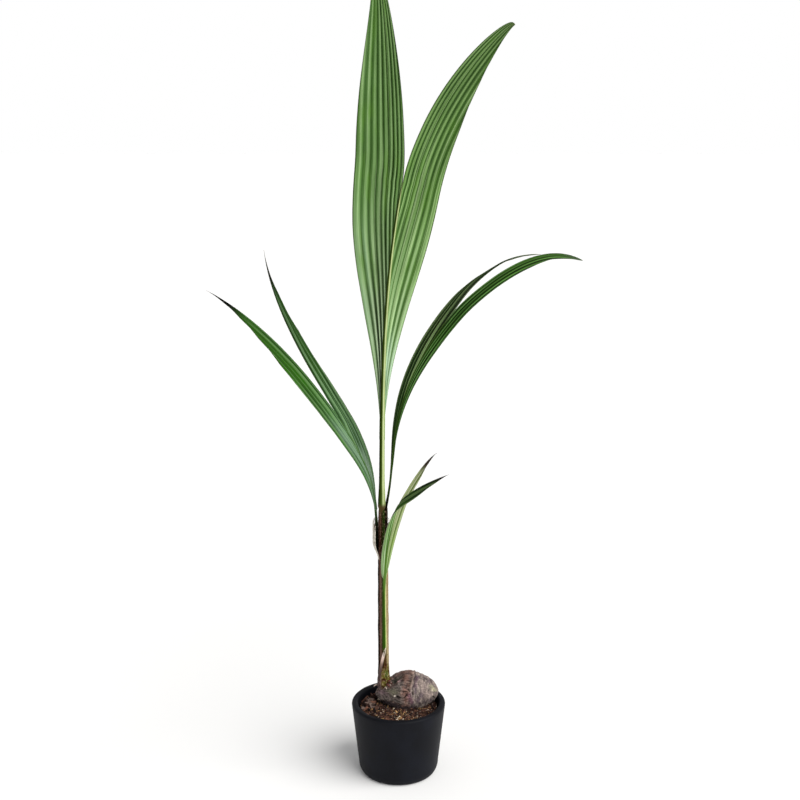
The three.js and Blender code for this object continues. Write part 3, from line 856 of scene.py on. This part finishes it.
def make_bract():
    """The pale pointed scale that stands up against the stem."""
    paint = Paint("pale_scale")
    side, rise = paint.on_map("ScaleUV")
    vein = paint.streaks(side, rise, 26.0, 3.0)
    base = paint.ramp(rise, [(0.0, "4a3a36"), (0.3, "64524a"), (0.45, "8d7466"), (0.6, "d2b8a8"),
                             (0.8, "f2e0d4"), (1.0, "f4e4d8")])
    base = paint.vary(base, vein, 0.7, 1.12)
    edge = paint.math("ABSOLUTE", paint.math("SUBTRACT", side, 0.5))
    base = paint.mix(paint.step(edge, 0.3, 0.48, 0.0, 0.7), base, "4a332c")
    scale = paint.finish(base, 0.6, vein, 0.0004, 0.7, specular=0.15)
    rows, columns = 40, 15
    rise_at = np.linspace(0, 1, rows)[:, None]
    across = np.linspace(-1, 1, columns)[None]
    z = lerp(BRACT["low"], BRACT["high"], rise_at) * np.ones_like(across)
    middle = lerp(BRACT["base_angle"], BRACT["tip_angle"], rise_at)
    half = BRACT["half_width"] * (1 - rise_at ** 5) + 0.04
    angle = middle + half * across
    centre, radius = stem_at(z)
    stand = 1.4 + 5.6 * rise_at ** 1.5 + 0.8 * np.abs(across) ** 2
    sheets = []
    for lift in (0.45, -0.45):
        out = radius + stand + lift * (1 - 0.6 * rise_at)
        sheets.append(round_stem(centre, out, angle, z))
    points, faces, maps = shell(sheets[0], sheets[1])
    places = np.concatenate([grid_places(rows, columns)] * 2)
    own = np.concatenate([places, maps["rim"]])
    piece("pale_bract", points, faces, [scale], ["bract"],
          maps={"ScaleUV": own, "OFBake": maps["OFBake"]}, crease=50)


def shell(top, bottom):
    """A closed thin body between two sheets of the same grid, with a map that keeps them apart."""
    rows, columns = top.shape[:2]
    quads = grid(rows, columns)
    count = rows * columns
    faces = [quads, quads[:, ::-1] + count]
    places = grid_places(rows, columns)
    half = np.array([0.46, 0.98])
    laid = [places * half + [0.01, 0.01], places[:, ::-1] * half + [0.53, 0.01]]
    rims = []
    i = np.arange(rows - 1)
    j = np.arange(columns - 1)
    for column, flip in ((0, 1), (columns - 1, -1)):
        a, b = i * columns + column, (i + 1) * columns + column
        faces.append(np.stack([a, b, b + count, a + count], -1)[:, ::flip])
        v0, v1 = i / (rows - 1), (i + 1) / (rows - 1)
        edge = 0.0 if column == 0 else 1.0
        rims.append(np.stack([np.stack([edge + 0 * v, v], -1) for v in (v0, v1, v1, v0)], 1)[:, ::flip])
    for row, flip in ((0, -1), (rows - 1, 1)):
        a, b = row * columns + j, row * columns + j + 1
        faces.append(np.stack([a, b, b + count, a + count], -1)[:, ::flip])
        u0, u1 = j / (columns - 1), (j + 1) / (columns - 1)
        edge = 0.0 if row == 0 else 1.0
        rims.append(np.stack([np.stack([u, edge + 0 * u], -1) for u in (u0, u1, u1, u0)], 1)[:, ::flip])
    rim = np.concatenate(rims)
    strip = np.stack([0.485 + 0.02 * rim[..., 0], 0.01 + 0.98 * rim[..., 1]], -1)
    points = np.concatenate([top.reshape(-1, 3), bottom.reshape(-1, 3)])
    return points, np.concatenate(faces), {"OFBake": np.concatenate(laid + [strip]), "rim": rim}


# ---- fibre net ----
def make_net():
    """The torn net of fibres that stands out from the stem where the leaves part."""
    turns = np.random.default_rng(5)
    names = [("ash_fibre", "e6dfd4"), ("brown_fibre", "bcb0a0"), ("dark_fibre", "746558")]
    materials = [bark_material(name, code) for name, code in names]
    strands = Bundle()

    def surface(rise, share):
        z = lerp(NET["low"], NET["high"], rise)
        centre, radius = stem_at(z)
        out = lerp(radius + 0.6, NET["radius"], smooth(rise, 0, NET["spread"]))
        angle = lerp(NET["start"], NET["stop"], share) * math.pi
        return round_stem(centre, out, angle, z)

    steps = np.linspace(0, 1, 15)
    for slope, count in ((0.34, 105), (-0.34, 105), (0.05, 60)):
        for k in range(count):
            start = (k + turns.uniform(0, 0.8)) / count * 1.4 - 0.2
            share = start + slope * steps + 0.012 * waves(steps, int(turns.integers(1e6)))
            top = turns.uniform(0.72, 1.03)
            rise = steps * top
            inside = (share > 0) & (share < 1)
            if inside.sum() < 3:
                continue
            path = surface(rise[inside], share[inside])
            tone = turns.choice(3, p=[0.55, 0.3, 0.15])
            strands.tube(path, turns.uniform(0.22, 0.55), 3, tone)
    for share_at in np.linspace(0.03, 0.97, 110):
        rise = np.full(9, turns.uniform(0.04, 0.95))
        rise = rise + 0.01 * waves(np.linspace(0, 1, 9), int(turns.integers(1e6)))
        share = np.clip(share_at + np.linspace(-0.09, 0.09, 9), 0, 1)
        strands.tube(surface(rise, share), turns.uniform(0.12, 0.26), 3, turns.choice(3))
    bundle_piece("net_strands", strands, materials, ["fibre_sheath"], crease=80)
    make_web(surface)


def make_web(surface):
    """The felted skin that fills the net, with a torn upper edge."""
    paint = Paint("felted_web")
    side, rise = paint.on_map("WebUV")
    mottle = paint.streaks(side, rise, 26.0, 10.0, detail=4.0)
    fibre = paint.streaks(side, rise, 90.0, 8.0, 3.0)
    base = paint.ramp(mottle, [(0.35, "8b8276"), (0.46, "c0b8ab"), (0.55, "d8d1c6"), (0.68, "efe9de")])
    base = paint.vary(base, fibre, 0.7, 1.15)
    felt = paint.finish(base, 0.9, fibre, 0.0006, 0.9, specular=0.1)
    rows, columns = 26, 90
    share = np.linspace(0.0, 1.0, columns)
    torn = 0.8 + 0.12 * waves(share * 6, 12)
    sheets = []
    for lift in (0.4, -0.1):
        lines = []
        for row in np.linspace(0.02, 1, rows):
            line = surface(torn * row, share)
            centre, _ = stem_at(line[:, 2])
            out = line - centre
            reach = np.linalg.norm(out[:, :2], axis=1, keepdims=True)
            lines.append(centre + out * (1 + lift / reach) * [1, 1, 0] + out * [0, 0, 1])
        sheets.append(np.array(lines))
    points, faces, maps = shell(sheets[0], sheets[1])
    own = np.concatenate([grid_places(rows, columns)] * 2 + [maps["rim"]])
    piece("net_web", points, faces, [felt], maps={"WebUV": own, "OFBake": maps["OFBake"]},
          crease=60)


# ---- stalks ----
# Tones round each stalk by its turn; 0.75 is the keel. On the tall leaf's stalk the dark flank from 0.48 to
# 0.745 is painted shade and the pale stops from 0.77 to 0.86 are a painted highlight. On the small leaf's
# stalk the pale stops from 0.75 to 0.8 are a painted highlight.
STALK_TONES = {
    "tall_leaf": [(0.0, "6f8a44"), (0.2, "5a7a34"), (0.48, "26330a"), (0.6, "1c2805"), (0.7, "2e4008"),
                  (0.745, "33460c"), (0.77, "84975a"), (0.81, "bac494"), (0.86, "a2ae74"), (0.93, "829656"),
                  (1.0, "6f8a44")],
    "left_leaf": [(0.0, "2a4a14"), (0.25, "5b8048"), (0.5, "1c3608"), (0.75, "24440e"), (1.0, "2a4a14")],
    "right_leaf": [(0.0, "5c7040"), (0.25, "375518"), (0.5, "22300c"), (0.7, "1c280a"), (0.8, "2c4010"),
                   (0.9, "5c7040"), (1.0, "5c7040")],
    "small_leaf": [(0.0, "7a6a4c"), (0.25, "5c7e3a"), (0.5, "33480f"), (0.6, "28440a"), (0.69, "264608"),
                   (0.725, "4f7a20"), (0.75, "98aa5c"), (0.775, "c0c88a"), (0.8, "b4b47c"), (0.83, "a0946a"),
                   (0.9, "978864"), (1.0, "7a6a4c")],
}
# The tone of each stalk's foot, and how far up it reaches in metres. The left and right leaves'
# near-black feet are painted shade where they go in among the sheaths.
STALK_FEET = {
    "tall_leaf": ("4d3d22", 0.02), "left_leaf": ("0c0f07", 0.12), "right_leaf": ("0d0a06", 0.06),
    "small_leaf": ("3d2a10", 0.05),
}


def stalk_radius(leaf, t):
    """The stalk's half width at a share of its run. It thins out where the lobes part."""
    t = np.asarray(t, float)
    return lerp(leaf["radii"][0], leaf["radii"][1], t ** leaf["thins"]) * (1 - 0.85 * smooth(t, 0.93, 1))


def stalk_material(leaf):
    paint = Paint(leaf["name"] + "_stalk_skin")
    turn, run = paint.on_map("StalkUV")
    line = paint.streaks(turn, run, 40.0, 3.0)
    cloud = paint.streaks(turn, run, 4.0, 18.0, 4.0)
    # This ramp holds the painted shade and highlight of the tall and small leaves' stalks.
    base = paint.ramp(turn, STALK_TONES[leaf["name"]])
    base = paint.vary(base, line, 0.84, 1.12)
    base = paint.vary(base, cloud, 0.88, 1.1)
    # On the left and right leaves the foot tone is painted shade where the stalks go in among the sheaths.
    code, reach = STALK_FEET[leaf["name"]]
    foot = paint.times(paint.step(run, 0.4 * reach, reach, 1.0, 0.0),
                      paint.step(line, 0.25, 0.5, 0.7, 1.0))
    base = paint.mix(foot, base, code)
    if leaf["name"] == "small_leaf":
        base = paint.mix(paint.step(run, 0.17, 0.23), base, "486a26")
        dots = paint.streaks(turn, run, 30.0, 150.0, 9.0, detail=2.0)
        dotted = paint.times(paint.step(dots, 0.55, 0.62), paint.band(turn, 0.7, 1.1, 0.03))
        base = paint.mix(paint.times(dotted, paint.step(run, 0.12, 0.2, 0.7, 0.0)), base, "4a3020")
    return paint.finish(base, paint.step(line, 0.3, 0.7, 0.34, 0.5), line, 0.0003, 0.6, specular=0.03)


def make_stalk(leaf):
    """The leaf's stalk and rachis: keeled below, channelled above, and wider where it clasps."""
    rows, columns = 150, 48
    t = np.linspace(0, 1, rows)
    centre = bezier(leaf["stalk"], t)
    tangent = unit(np.gradient(centre, axis=0))
    if leaf["stalk"][0][2] > 600:
        centre[0] -= 10 * tangent[0]
    hands = sum(lobe["hand"] * unit(lobe["sides"][0]) for lobe in leaf["lobes"])
    across = square_to(hands, tangent)
    upper = np.cross(tangent, across)
    angle = TAU * np.arange(columns) / columns
    below = np.maximum(0, -np.sin(angle))
    above = np.maximum(0, np.sin(angle))
    section = 1 + 0.16 * below ** 6 - 0.3 * above ** 3
    radius = stalk_radius(leaf, t)
    clasp = 1 + 0.3 * (1 - smooth(t, 0, 0.1))
    if leaf["name"] == "small_leaf":
        radius = radius * lerp(0.35, 1.0, smooth(t, 0.0, 0.12))
        clasp = 1 + 0.65 * (1 - smooth(t, 0.5, 0.8))
    spread = radius[:, None] * section
    points = centre[:, None] + across[:, None] * (spread * clasp[:, None] * np.cos(angle))[..., None]
    points = points + upper[:, None] * (spread * np.sin(angle))[..., None]
    points = points + upper[:, None] * (0.12 * np.cos(9 * angle) * np.ones_like(spread))[..., None]
    points[0] = lerp(points[0], centre[0], 0.5)
    points = np.concatenate([points[:1] * 0 + centre[0], points, points[:1] * 0 + centre[-1]])
    places = grid_places(rows + 2, columns, closed=True)
    own = places.copy()
    own[..., 1] *= lengths(centre)[-1] * MM
    name = leaf["name"] + "_stalk"
    piece(leaf["name"] + "_petiole", points, grid(rows + 2, columns, closed=True), [stalk_material(leaf)],
          [name], maps={"StalkUV": own, "OFBake": places}, crease=60)


# ---- blades ----
PLEAT_STEPS = np.array([0, 0.04, 0.13, 0.28, 0.5, 0.72, 0.87, 0.96])
# What the blades' tones are where nothing else is said. open is how far the painted shade of the
# hollows pales towards the outer margin, and lean shifts the painted highlight on the crests of the
# under face by that share of a pleat. A wash covers wash_side of the width. pinch narrows the
# crests near the foot, foot_shade and end_shade darken the foot and the end.
PLAIN_TONES = {
    "open": 0.0, "lean": 0.0, "wash_side": (0.1, 0.9), "pinch": 0.0, "foot_shade": 1.0, "end_shade": 0.76,
}
# Each face's tones: its hollows, its middle, its crests, and the hollows and crests at its foot.
# The darker hollows are painted shade and the paler crests a painted highlight.
# line is the tone of the pale veins, etch how strong the fine veins are and fine how many a pleat
# has. warm is a tone and its strength, and a wash is a tone, the shares of the length between
# which it lies, and its strength; the pale washes of the tall and left leaves' lobes are a painted
# sheen. The tip has its own tone from tip_from on.
BLADE_TONES = {
    "tall_leaf_left_lobe": {
        "upper": ("274718", "355923", "4d7436", "1b330f", "5f8550"),
        "under": ("24400f", "4e7438", "85a66b", "060f02", "cfe6be"),
        "line": "94b27c", "warm": ("5c8a2e", 0.5), "wash": ("8fb489", 0.2, 0.42, 0.45), "etch": 0.5,
        "fine": 3.4, "margin": "2a3618", "tip": "3d4a28", "tip_from": 0.93,
        "wash_side": (0.6, 1.1), "pinch": 0.3, "foot_shade": 0.62, "open": 0.75, "lean": 0.14,
    },
    "tall_leaf_right_lobe": {
        "upper": ("2b4b1b", "3a5f27", "52793a", "2d4c1d", "668a54"),
        "under": ("28471a", "527638", "82a464", "55783c", "a8c49a"),
        "line": "a2be86", "warm": ("4e7a24", 0.5), "wash": ("b2cbb4", 0.03, 0.2, 0.8), "etch": 0.6,
        "fine": 3.4, "margin": "3c4a24", "tip": "4c4a30", "tip_from": 0.97,
        "open": 0.2, "lean": 0.0,
    },
    "left_leaf_outer_lobe": {
        "upper": ("17360a", "2a5610", "416c28", "264e24", "a4c2a2"),
        "under": ("2c4a1c", "42652c", "587c40", "33542a", "6f9058"),
        "line": "668c54", "warm": ("2c640c", 0.7), "wash": ("86a08c", 0.1, 0.34, 0.5), "etch": 0.85,
        "fine": 2.4, "margin": "3e4a2a", "tip": "070904", "tip_from": 0.84,
        "wash_side": (0.12, 0.75), "end_shade": 0.95,
    },
    "left_leaf_inner_lobe": {
        "upper": ("102c06", "20440e", "416830", "20441a", "8fb090"),
        "under": ("2c4a1c", "42652c", "587c40", "33542a", "6f9058"),
        "line": "6f9064", "warm": ("2c5a0c", 0.5), "wash": ("b0c4b2", 0.05, 0.19, 0.6), "etch": 0.9,
        "fine": 2.4, "margin": "4a4c34", "tip": "0a1005", "tip_from": 0.84,
        "wash_side": (0.12, 0.75),
    },
    "right_leaf_lower_lobe": {
        "upper": ("081302", "1b360b", "4c7634", "0f1f08", "335614"),
        "under": ("24381a", "355024", "4a6a34", "2c4420", "5c7c48"),
        "line": "5f8a48", "warm": ("2b5010", 0.6), "wash": ("47722a", 0.72, 0.96, 0.7), "etch": 0.9,
        "fine": 2.8, "margin": "57664a", "tip": "3a4a30", "tip_from": 0.93,
        "end_shade": 1.0,
    },
    "right_leaf_upper_lobe": {
        "upper": ("080f03", "1b3010", "4a643a", "0f1c08", "304e18"),
        "under": ("35402a", "4a5a38", "66764e", "2c4420", "5c7c48"),
        "line": "78905e", "warm": ("24260c", 0.6), "wash": ("1c2010", 0.6, 0.74, 0.5), "etch": 0.9,
        "fine": 2.8, "margin": "747c68", "tip": "4a5a2c", "tip_from": 0.97,
    },
    "small_leaf_back_lobe": {
        "upper": ("203815", "2e4c1e", "40602c", "24401a", "4a6c36"),
        "under": ("5a6e36", "7f9256", "aeb688", "35591a", "8fae72"),
        "line": "c2c4a4", "warm": ("7a9440", 0.6), "wash": ("8a9a6a", 0.4, 0.7, 0.3), "etch": 0.55,
        "fine": 1.4, "margin": "b8aa9a", "tip": "2c2218", "tip_from": 0.8,
    },
    "small_leaf_front_lobe": {
        "upper": ("091704", "152c0a", "26441a", "10240a", "26441a"),
        "under": ("38601c", "587f3c", "86a86a", "244a0c", "a9c294"),
        "line": "7c9a5c", "warm": ("3f7018", 0.6), "wash": ("9db08a", 0.02, 0.25, 0.4), "etch": 0.45,
        "fine": 1.4, "margin": "9aa284", "tip": "150f08", "tip_from": 0.84,
    },
}


def fold_at(paint, pleat, shift=0.0):
    """0 in the middle of each pleat and 1 at its edges, moved across by this share of a pleat."""
    place = paint.math("FRACT", paint.math("SUBTRACT", pleat, shift))
    return paint.times(paint.math("ABSOLUTE", paint.math("SUBTRACT", place, 0.5)), 2.0)


def pleat_tones(paint, tones, face, maps, streak, cloud):
    """The tones of the pleats with painted shade in the hollows and a painted highlight on the crests, the
    hollows' tone, and how far fine veins show where crests pinch.
    """
    hollow, middle, crest, foot_hollow, foot_crest = tones[face]
    pleat, side, share = maps
    fold = fold_at(paint, pleat)
    foot = paint.step(share, 0.08, 0.58, 1.0, 0.0)
    low = paint.mix(foot, hollow, foot_hollow)
    high = paint.mix(foot, crest, foot_crest)
    middle = paint.mix(paint.times(foot, 0.18), middle, foot_crest)
    low = paint.mix(paint.step(side, 0.25, 0.95, 0.0, tones["open"]), low, middle)
    near_foot = paint.step(share, 0.2, 0.5, tones["pinch"], 0.0)
    pinch = paint.times(near_foot, paint.step(side, 0.3, 0.9, 1.0, 0.0))
    calm = paint.math("SUBTRACT", 1.0, paint.times(pinch, 3.0))
    if face == "under":
        middle = paint.mix(paint.times(pinch, 2.2), middle, low)
        crests = fold_at(paint, pleat, tones["lean"])
        highlit_crests = paint.step(crests, paint.math("SUBTRACT", 0.6, pinch), 0.15)
        edge = paint.step(side, 0.2, 0.85, 0.4, 0.4 + 0.44 * tones["open"])
        shaded_hollows = paint.step(fold, paint.math("SUBTRACT", edge, pinch), 0.9)
    else:
        highlit_crests = paint.step(fold, 0.66, 0.96)
        shaded_hollows = paint.step(fold, 0.5, 0.1, 0.0, 0.9)
    # The crests take the paler tone as a painted highlight and the hollows the darker tone as painted shade.
    base = paint.mix(paint.times(highlit_crests, paint.step(streak, 0.3, 0.7, 0.35, 1.0)), middle, high)
    base = paint.mix(paint.times(shaded_hollows, paint.step(cloud, 0.3, 0.7, 1.0, 0.7)), base, low)
    return base, low, calm


def leaf_material(name, face):
    """A blade's face. On the map LeafUV, x counts pleats and y is the length in metres."""
    tones = PLAIN_TONES | BLADE_TONES[name]
    paint = Paint(name.replace("lobe", face))
    pleat, run = paint.on_map("LeafUV")
    side, share = paint.on_map("LeafShare")
    vein = paint.streaks(pleat, run, 14.0, 2.5)
    streak = paint.streaks(pleat, run, 1.6, 3.0, 3.0)
    cloud = paint.streaks(pleat, run, 0.35, 6.0, 7.0)
    lines = paint.streaks(pleat, run, tones["fine"], 1.3, 11.0, detail=2.0)
    patch = paint.streaks(pleat, run, 0.7, 9.0, 19.0, detail=2.0)

    base, low, calm = pleat_tones(paint, tones, face, (pleat, side, share), streak, cloud)
    warm, amount = tones["warm"]
    base = paint.mix(paint.times(paint.step(patch, 0.5, 0.72, 0.0, amount), calm), base, warm)
    base = paint.mix(paint.step(lines, 0.44, 0.37, 0.0, tones["etch"]), base, low)
    pale = paint.times(paint.step(lines, 0.56, 0.63, 0.0, tones["etch"]), calm)
    base = paint.mix(pale, base, tones["line"])
    # On the tall and left leaves' lobes the pale wash is a painted sheen.
    wash, low_end, high_end, strength = tones["wash"]
    washed = paint.times(paint.band(share, low_end, high_end, 0.07), paint.step(streak, 0.4, 0.6))
    washed = paint.times(washed, paint.band(side, *tones["wash_side"], 0.12))
    base = paint.mix(paint.times(washed, strength), base, wash)

    base = paint.vary(base, vein, 0.84, 1.14)
    base = paint.vary(base, cloud, 0.88, 1.12)
    base = paint.shade(base, paint.step(share, 0.45, 0.85, 1.0, tones["end_shade"]))
    base = paint.shade(base, paint.step(share, 0.04, 0.2, tones["foot_shade"], 1.0))
    inner_margin = paint.times(paint.step(side, 0.03, 0.005), paint.step(share, 0.35, 0.5))
    margin = paint.math("MAXIMUM", paint.step(side, 0.965, 0.995), inner_margin)
    base = paint.mix(paint.times(margin, 0.8), base, tones["margin"])
    end = paint.math("ADD", share, paint.times(streak, 0.06))
    dry = paint.step(end, tones["tip_from"], tones["tip_from"] + 0.1)
    base = paint.mix(dry, base, tones["tip"])
    gloss = paint.step(vein, 0.3, 0.7, 0.36, 0.5)
    return paint.finish(base, gloss, vein, 0.0002, 0.5, specular=0.05)


def margin_path(leaf, lobe):
    """The lobe's inner margin, and the share of its length where it leaves the rachis."""
    rachis = bezier(leaf["stalk"], np.linspace(leaf["blade_start"], 1, 200))
    end = np.array(leaf["stalk"][3], float)
    onward = unit(end - np.array(leaf["stalk"][2]))
    free = bezier([end, end + onward * lobe["reach"], lobe["bend"], lobe["tip"]], np.linspace(0, 1, 200))
    path = np.concatenate([rachis, free[1:]])
    return path, lengths(rachis)[-1] / lengths(path)[-1]


def blend_sides(sides, s):
    sides = unit(sides)
    x = s * (len(sides) - 1)
    i = np.minimum(x.astype(int), len(sides) - 2)
    return lerp(sides[i], sides[i + 1], smooth(x - i)[:, None])


def lobe_width(lobe, s):
    rise = np.sin(math.pi / 2 * np.clip(s / lobe["widest"], 0, 1)) ** lobe["base"]
    fall = (1 - np.clip((s - lobe["widest"]) / (1 - lobe["widest"]), 0, 1) ** 2) ** lobe["point"]
    width = lobe["width"] * np.where(s < lobe["widest"], rise, fall)
    least = lerp(BLADE["foot_width"], BLADE["tip_width"], s)
    return np.maximum(width, least * lerp(lobe["slim"], 1.0, smooth(s, 0, 0.12)))


def pleats_held(lobe, s, notch):
    """The pleat numbers at the outer and inner margin. Pleats leave the rachis one after another,
    and past the widest place they run out at the margins."""
    inner = lerp(lobe["first"], lobe["pleats"], np.clip(s / notch, 0, 1) ** 1.5)
    narrowed = np.where(s > lobe["widest"], 1 - lobe_width(lobe, s) / lobe["width"], 0)
    lost = (lobe["pleats"] - lobe["last"]) * narrowed
    return lost * lobe["outer_loss"], inner - lost * (1 - lobe["outer_loss"])


def eased_margin(edge, s):
    """The outer margin without the corner that the rachis turns where the lobes part."""
    span = len(s) // 8
    weights = np.hanning(2 * span + 1)
    padded = np.pad(edge, ((span, span), (0, 0)), mode="edge")
    eased = [np.convolve(padded[:, k], weights / weights.sum(), "valid") for k in range(3)]
    keep = smooth(s, 0.12, 0.3) * smooth(s, 0.9, 0.75)
    return lerp(edge, np.stack(eased, -1), keep[:, None])


def make_lobe(leaf, lobe):
    path, notch = margin_path(leaf, lobe)
    length = lengths(path)[-1]
    rows = int(length / 5) + 20
    s = np.linspace(0, 1, rows)
    origin = along(path, s)
    tangent = unit(along(path, np.minimum(s + 0.01, 1)) - along(path, np.maximum(s - 0.01, 0)))
    side = square_to(blend_sides(lobe["sides"], s), tangent)
    upper = lobe["hand"] * np.cross(tangent, side)
    on_rachis = lerp(leaf["blade_start"], 1, np.minimum(s / notch, 1))
    seat = np.maximum(stalk_radius(leaf, on_rachis) - 0.7, 0.15)
    beside = lerp(seat, leaf["radii"][1] + CLEAR, smooth(s, notch, notch + 0.12))
    origin = origin + side * beside[:, None]

    outer, inner = (row[:, None] for row in pleats_held(lobe, s, notch))
    lines = np.append((np.arange(lobe["pleats"])[:, None] + PLEAT_STEPS).ravel(), lobe["pleats"])
    phase = np.clip(lines[None], outer, inner)
    inward = (phase - outer) / (inner - outer)
    t = 1 - inward * (1 + lobe["crowding"] * (1 - inward))
    width = lobe_width(lobe, s)[:, None]
    pitch = width * (1 + lobe["crowding"] * (1 - 2 * inward)) / (inner - outer)
    tooth = 0.05 * pitch * (outer % 1.0) * smooth(t, 0.88, 1) * smooth(s, 1.0, 0.85)[:, None]
    fold = lobe["fold"] * lerp(1.25, 1.0, smooth(s, 0.05, 0.45))[:, None] * lerp(lobe["steep"], 1, t)
    eased = smooth(inner - phase, 0.0, 0.6) * smooth(s, 1.0, 0.9)[:, None]
    ridge = np.abs(2 * (phase % 1.0) - 1) ** 1.35 - 0.45
    height = BLADE["cup"] * width * np.sin(math.pi * t) + fold * pitch * ridge * eased
    flutter = waves(s * 2.2, len(lobe["name"]) + lobe["pleats"])[:, None] * 0.014 * width * t ** 2
    across = eased_margin(origin + side * width, s) - origin
    middle = origin[:, None] + across[:, None] * t[..., None] - side[:, None] * tooth[..., None]
    middle = middle + upper[:, None] * (height + flutter)[..., None]
    half = lerp(BLADE["thick"], BLADE["thin"], s) / 2
    lift = upper[:, None] * half[:, None, None]
    points, faces, maps = shell(middle + lift, middle - lift)

    slots = np.repeat([0, 1, 0], [(rows - 1) * (len(lines) - 1)] * 2 + [len(faces)])[:len(faces)]
    name = leaf["name"] + "_" + lobe["name"]
    materials = [leaf_material(name, face) for face in ("upper", "under")]
    piece(name.replace("lobe", "blade"), points, faces, materials, [name],
          slots=slots, maps=blade_maps(faces, maps["OFBake"], phase, t, s, length), crease=75)


def blade_maps(faces, laid, phase, t, s, length):
    """A blade's maps: pleats and metres, the shares across and along it, and a flat one."""
    share = s[:, None] * np.ones(t.shape[1])

    def both_sides(*values):
        return np.concatenate([np.stack(values, -1).reshape(-1, 2)] * 2)[faces]

    quads = (t.shape[0] - 1) * (t.shape[1] - 1)
    shares = both_sides(t, share)
    laid = laid.copy()
    for start, corner in ((0, [0.01, 0.01]), (quads, [0.53, 0.01])):
        laid[start:start + quads] = shares[start:start + quads] * [0.46, 0.98] + corner
    return {"LeafUV": both_sides(phase, share * length * MM), "LeafShare": shares, "OFBake": laid}


def make_leaves():
    for leaf in LEAVES:
        make_stalk(leaf)
        for lobe in leaf["lobes"]:
            make_lobe(leaf, lobe)


# ---- studio ----
def look_at(made, target):
    made.rotation_euler = (Vector(target) - made.location).to_track_quat("-Z", "Y").to_euler()


def make_sun(name, place, power, softness, tint):
    """A far, soft light that shines from this place towards the origin."""
    light = bpy.data.lights.new(name, "SUN")
    light.energy = power
    light.angle = math.radians(softness)
    light.color = tint
    made = bpy.data.objects.new(name, light)
    made.location = place
    look_at(made, (0, 0, 0))
    bpy.context.scene.collection.objects.link(made)


def make_world():
    """A light tent: bright round the horizon and softer overhead."""
    world = bpy.data.worlds.new("light_tent")
    world.use_nodes = True
    tree = world.node_tree
    tree.nodes.clear()
    place = tree.nodes.new("ShaderNodeTexCoord")
    split = tree.nodes.new("ShaderNodeSeparateXYZ")
    ease = tree.nodes.new("ShaderNodeMapRange")
    ease.interpolation_type = "SMOOTHSTEP"
    for key, value in {1: 0.3, 2: 0.6, 3: 1.0, 4: 0.3}.items():
        ease.inputs[key].default_value = value
    back = tree.nodes.new("ShaderNodeBackground")
    back.inputs["Color"].default_value = (1.0, 1.0, 1.0, 1.0)
    out = tree.nodes.new("ShaderNodeOutputWorld")
    tree.links.new(place.outputs["Generated"], split.inputs[0])
    tree.links.new(split.outputs[2], ease.inputs[0])
    tree.links.new(ease.outputs[0], back.inputs["Strength"])
    tree.links.new(back.outputs[0], out.inputs[0])
    bpy.context.scene.world = world


def make_floor():
    paint = Paint("pale_floor")
    tone = paint.noise(paint.object_place(), 2.0, 3.0)
    material = paint.finish(paint.mix(tone, "f8f8f8", "fafafa"), 0.9, specular=0.0)
    mesh = bpy.data.meshes.new("floor")
    sides, radius = 64, 400.0
    ring = [(radius * math.cos(TAU * k / sides), radius * math.sin(TAU * k / sides), 0) for k in range(sides)]
    mesh.from_pydata(ring, [], [list(range(sides))])
    mesh.materials.append(material)
    floor = bpy.data.objects.new("floor", mesh)
    floor.location.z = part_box("pot")[0].z - 0.0002
    bpy.context.scene.collection.objects.link(floor)


CAMERA = {"lens": 52.65, "sensor": 36.0, "place": (0.0036, -2.6, 1.471), "looks_down": 12.1}
KEY_SUN = {"place": (2.4, -1.7, 2.6), "power": 3.2, "softness": 62, "tint": (1.0, 0.99, 0.97)}


def make_camera():
    camera = bpy.data.cameras.new("camera")
    camera.lens = CAMERA["lens"]
    camera.sensor_width = CAMERA["sensor"]
    made = bpy.data.objects.new("camera", camera)
    made.location = CAMERA["place"]
    made.rotation_euler = (math.radians(90 - CAMERA["looks_down"]), 0, 0)
    bpy.context.scene.collection.objects.link(made)
    bpy.context.scene.camera = made


def make_studio():
    make_camera()
    make_world()
    make_floor()
    make_sun("key", **KEY_SUN)
    bpy.context.scene.view_settings.view_transform = "Standard"


make_studio()
make_pot()
make_soil()
make_nut()
make_stem()
make_roots()
make_bract()
make_net()
make_leaves()
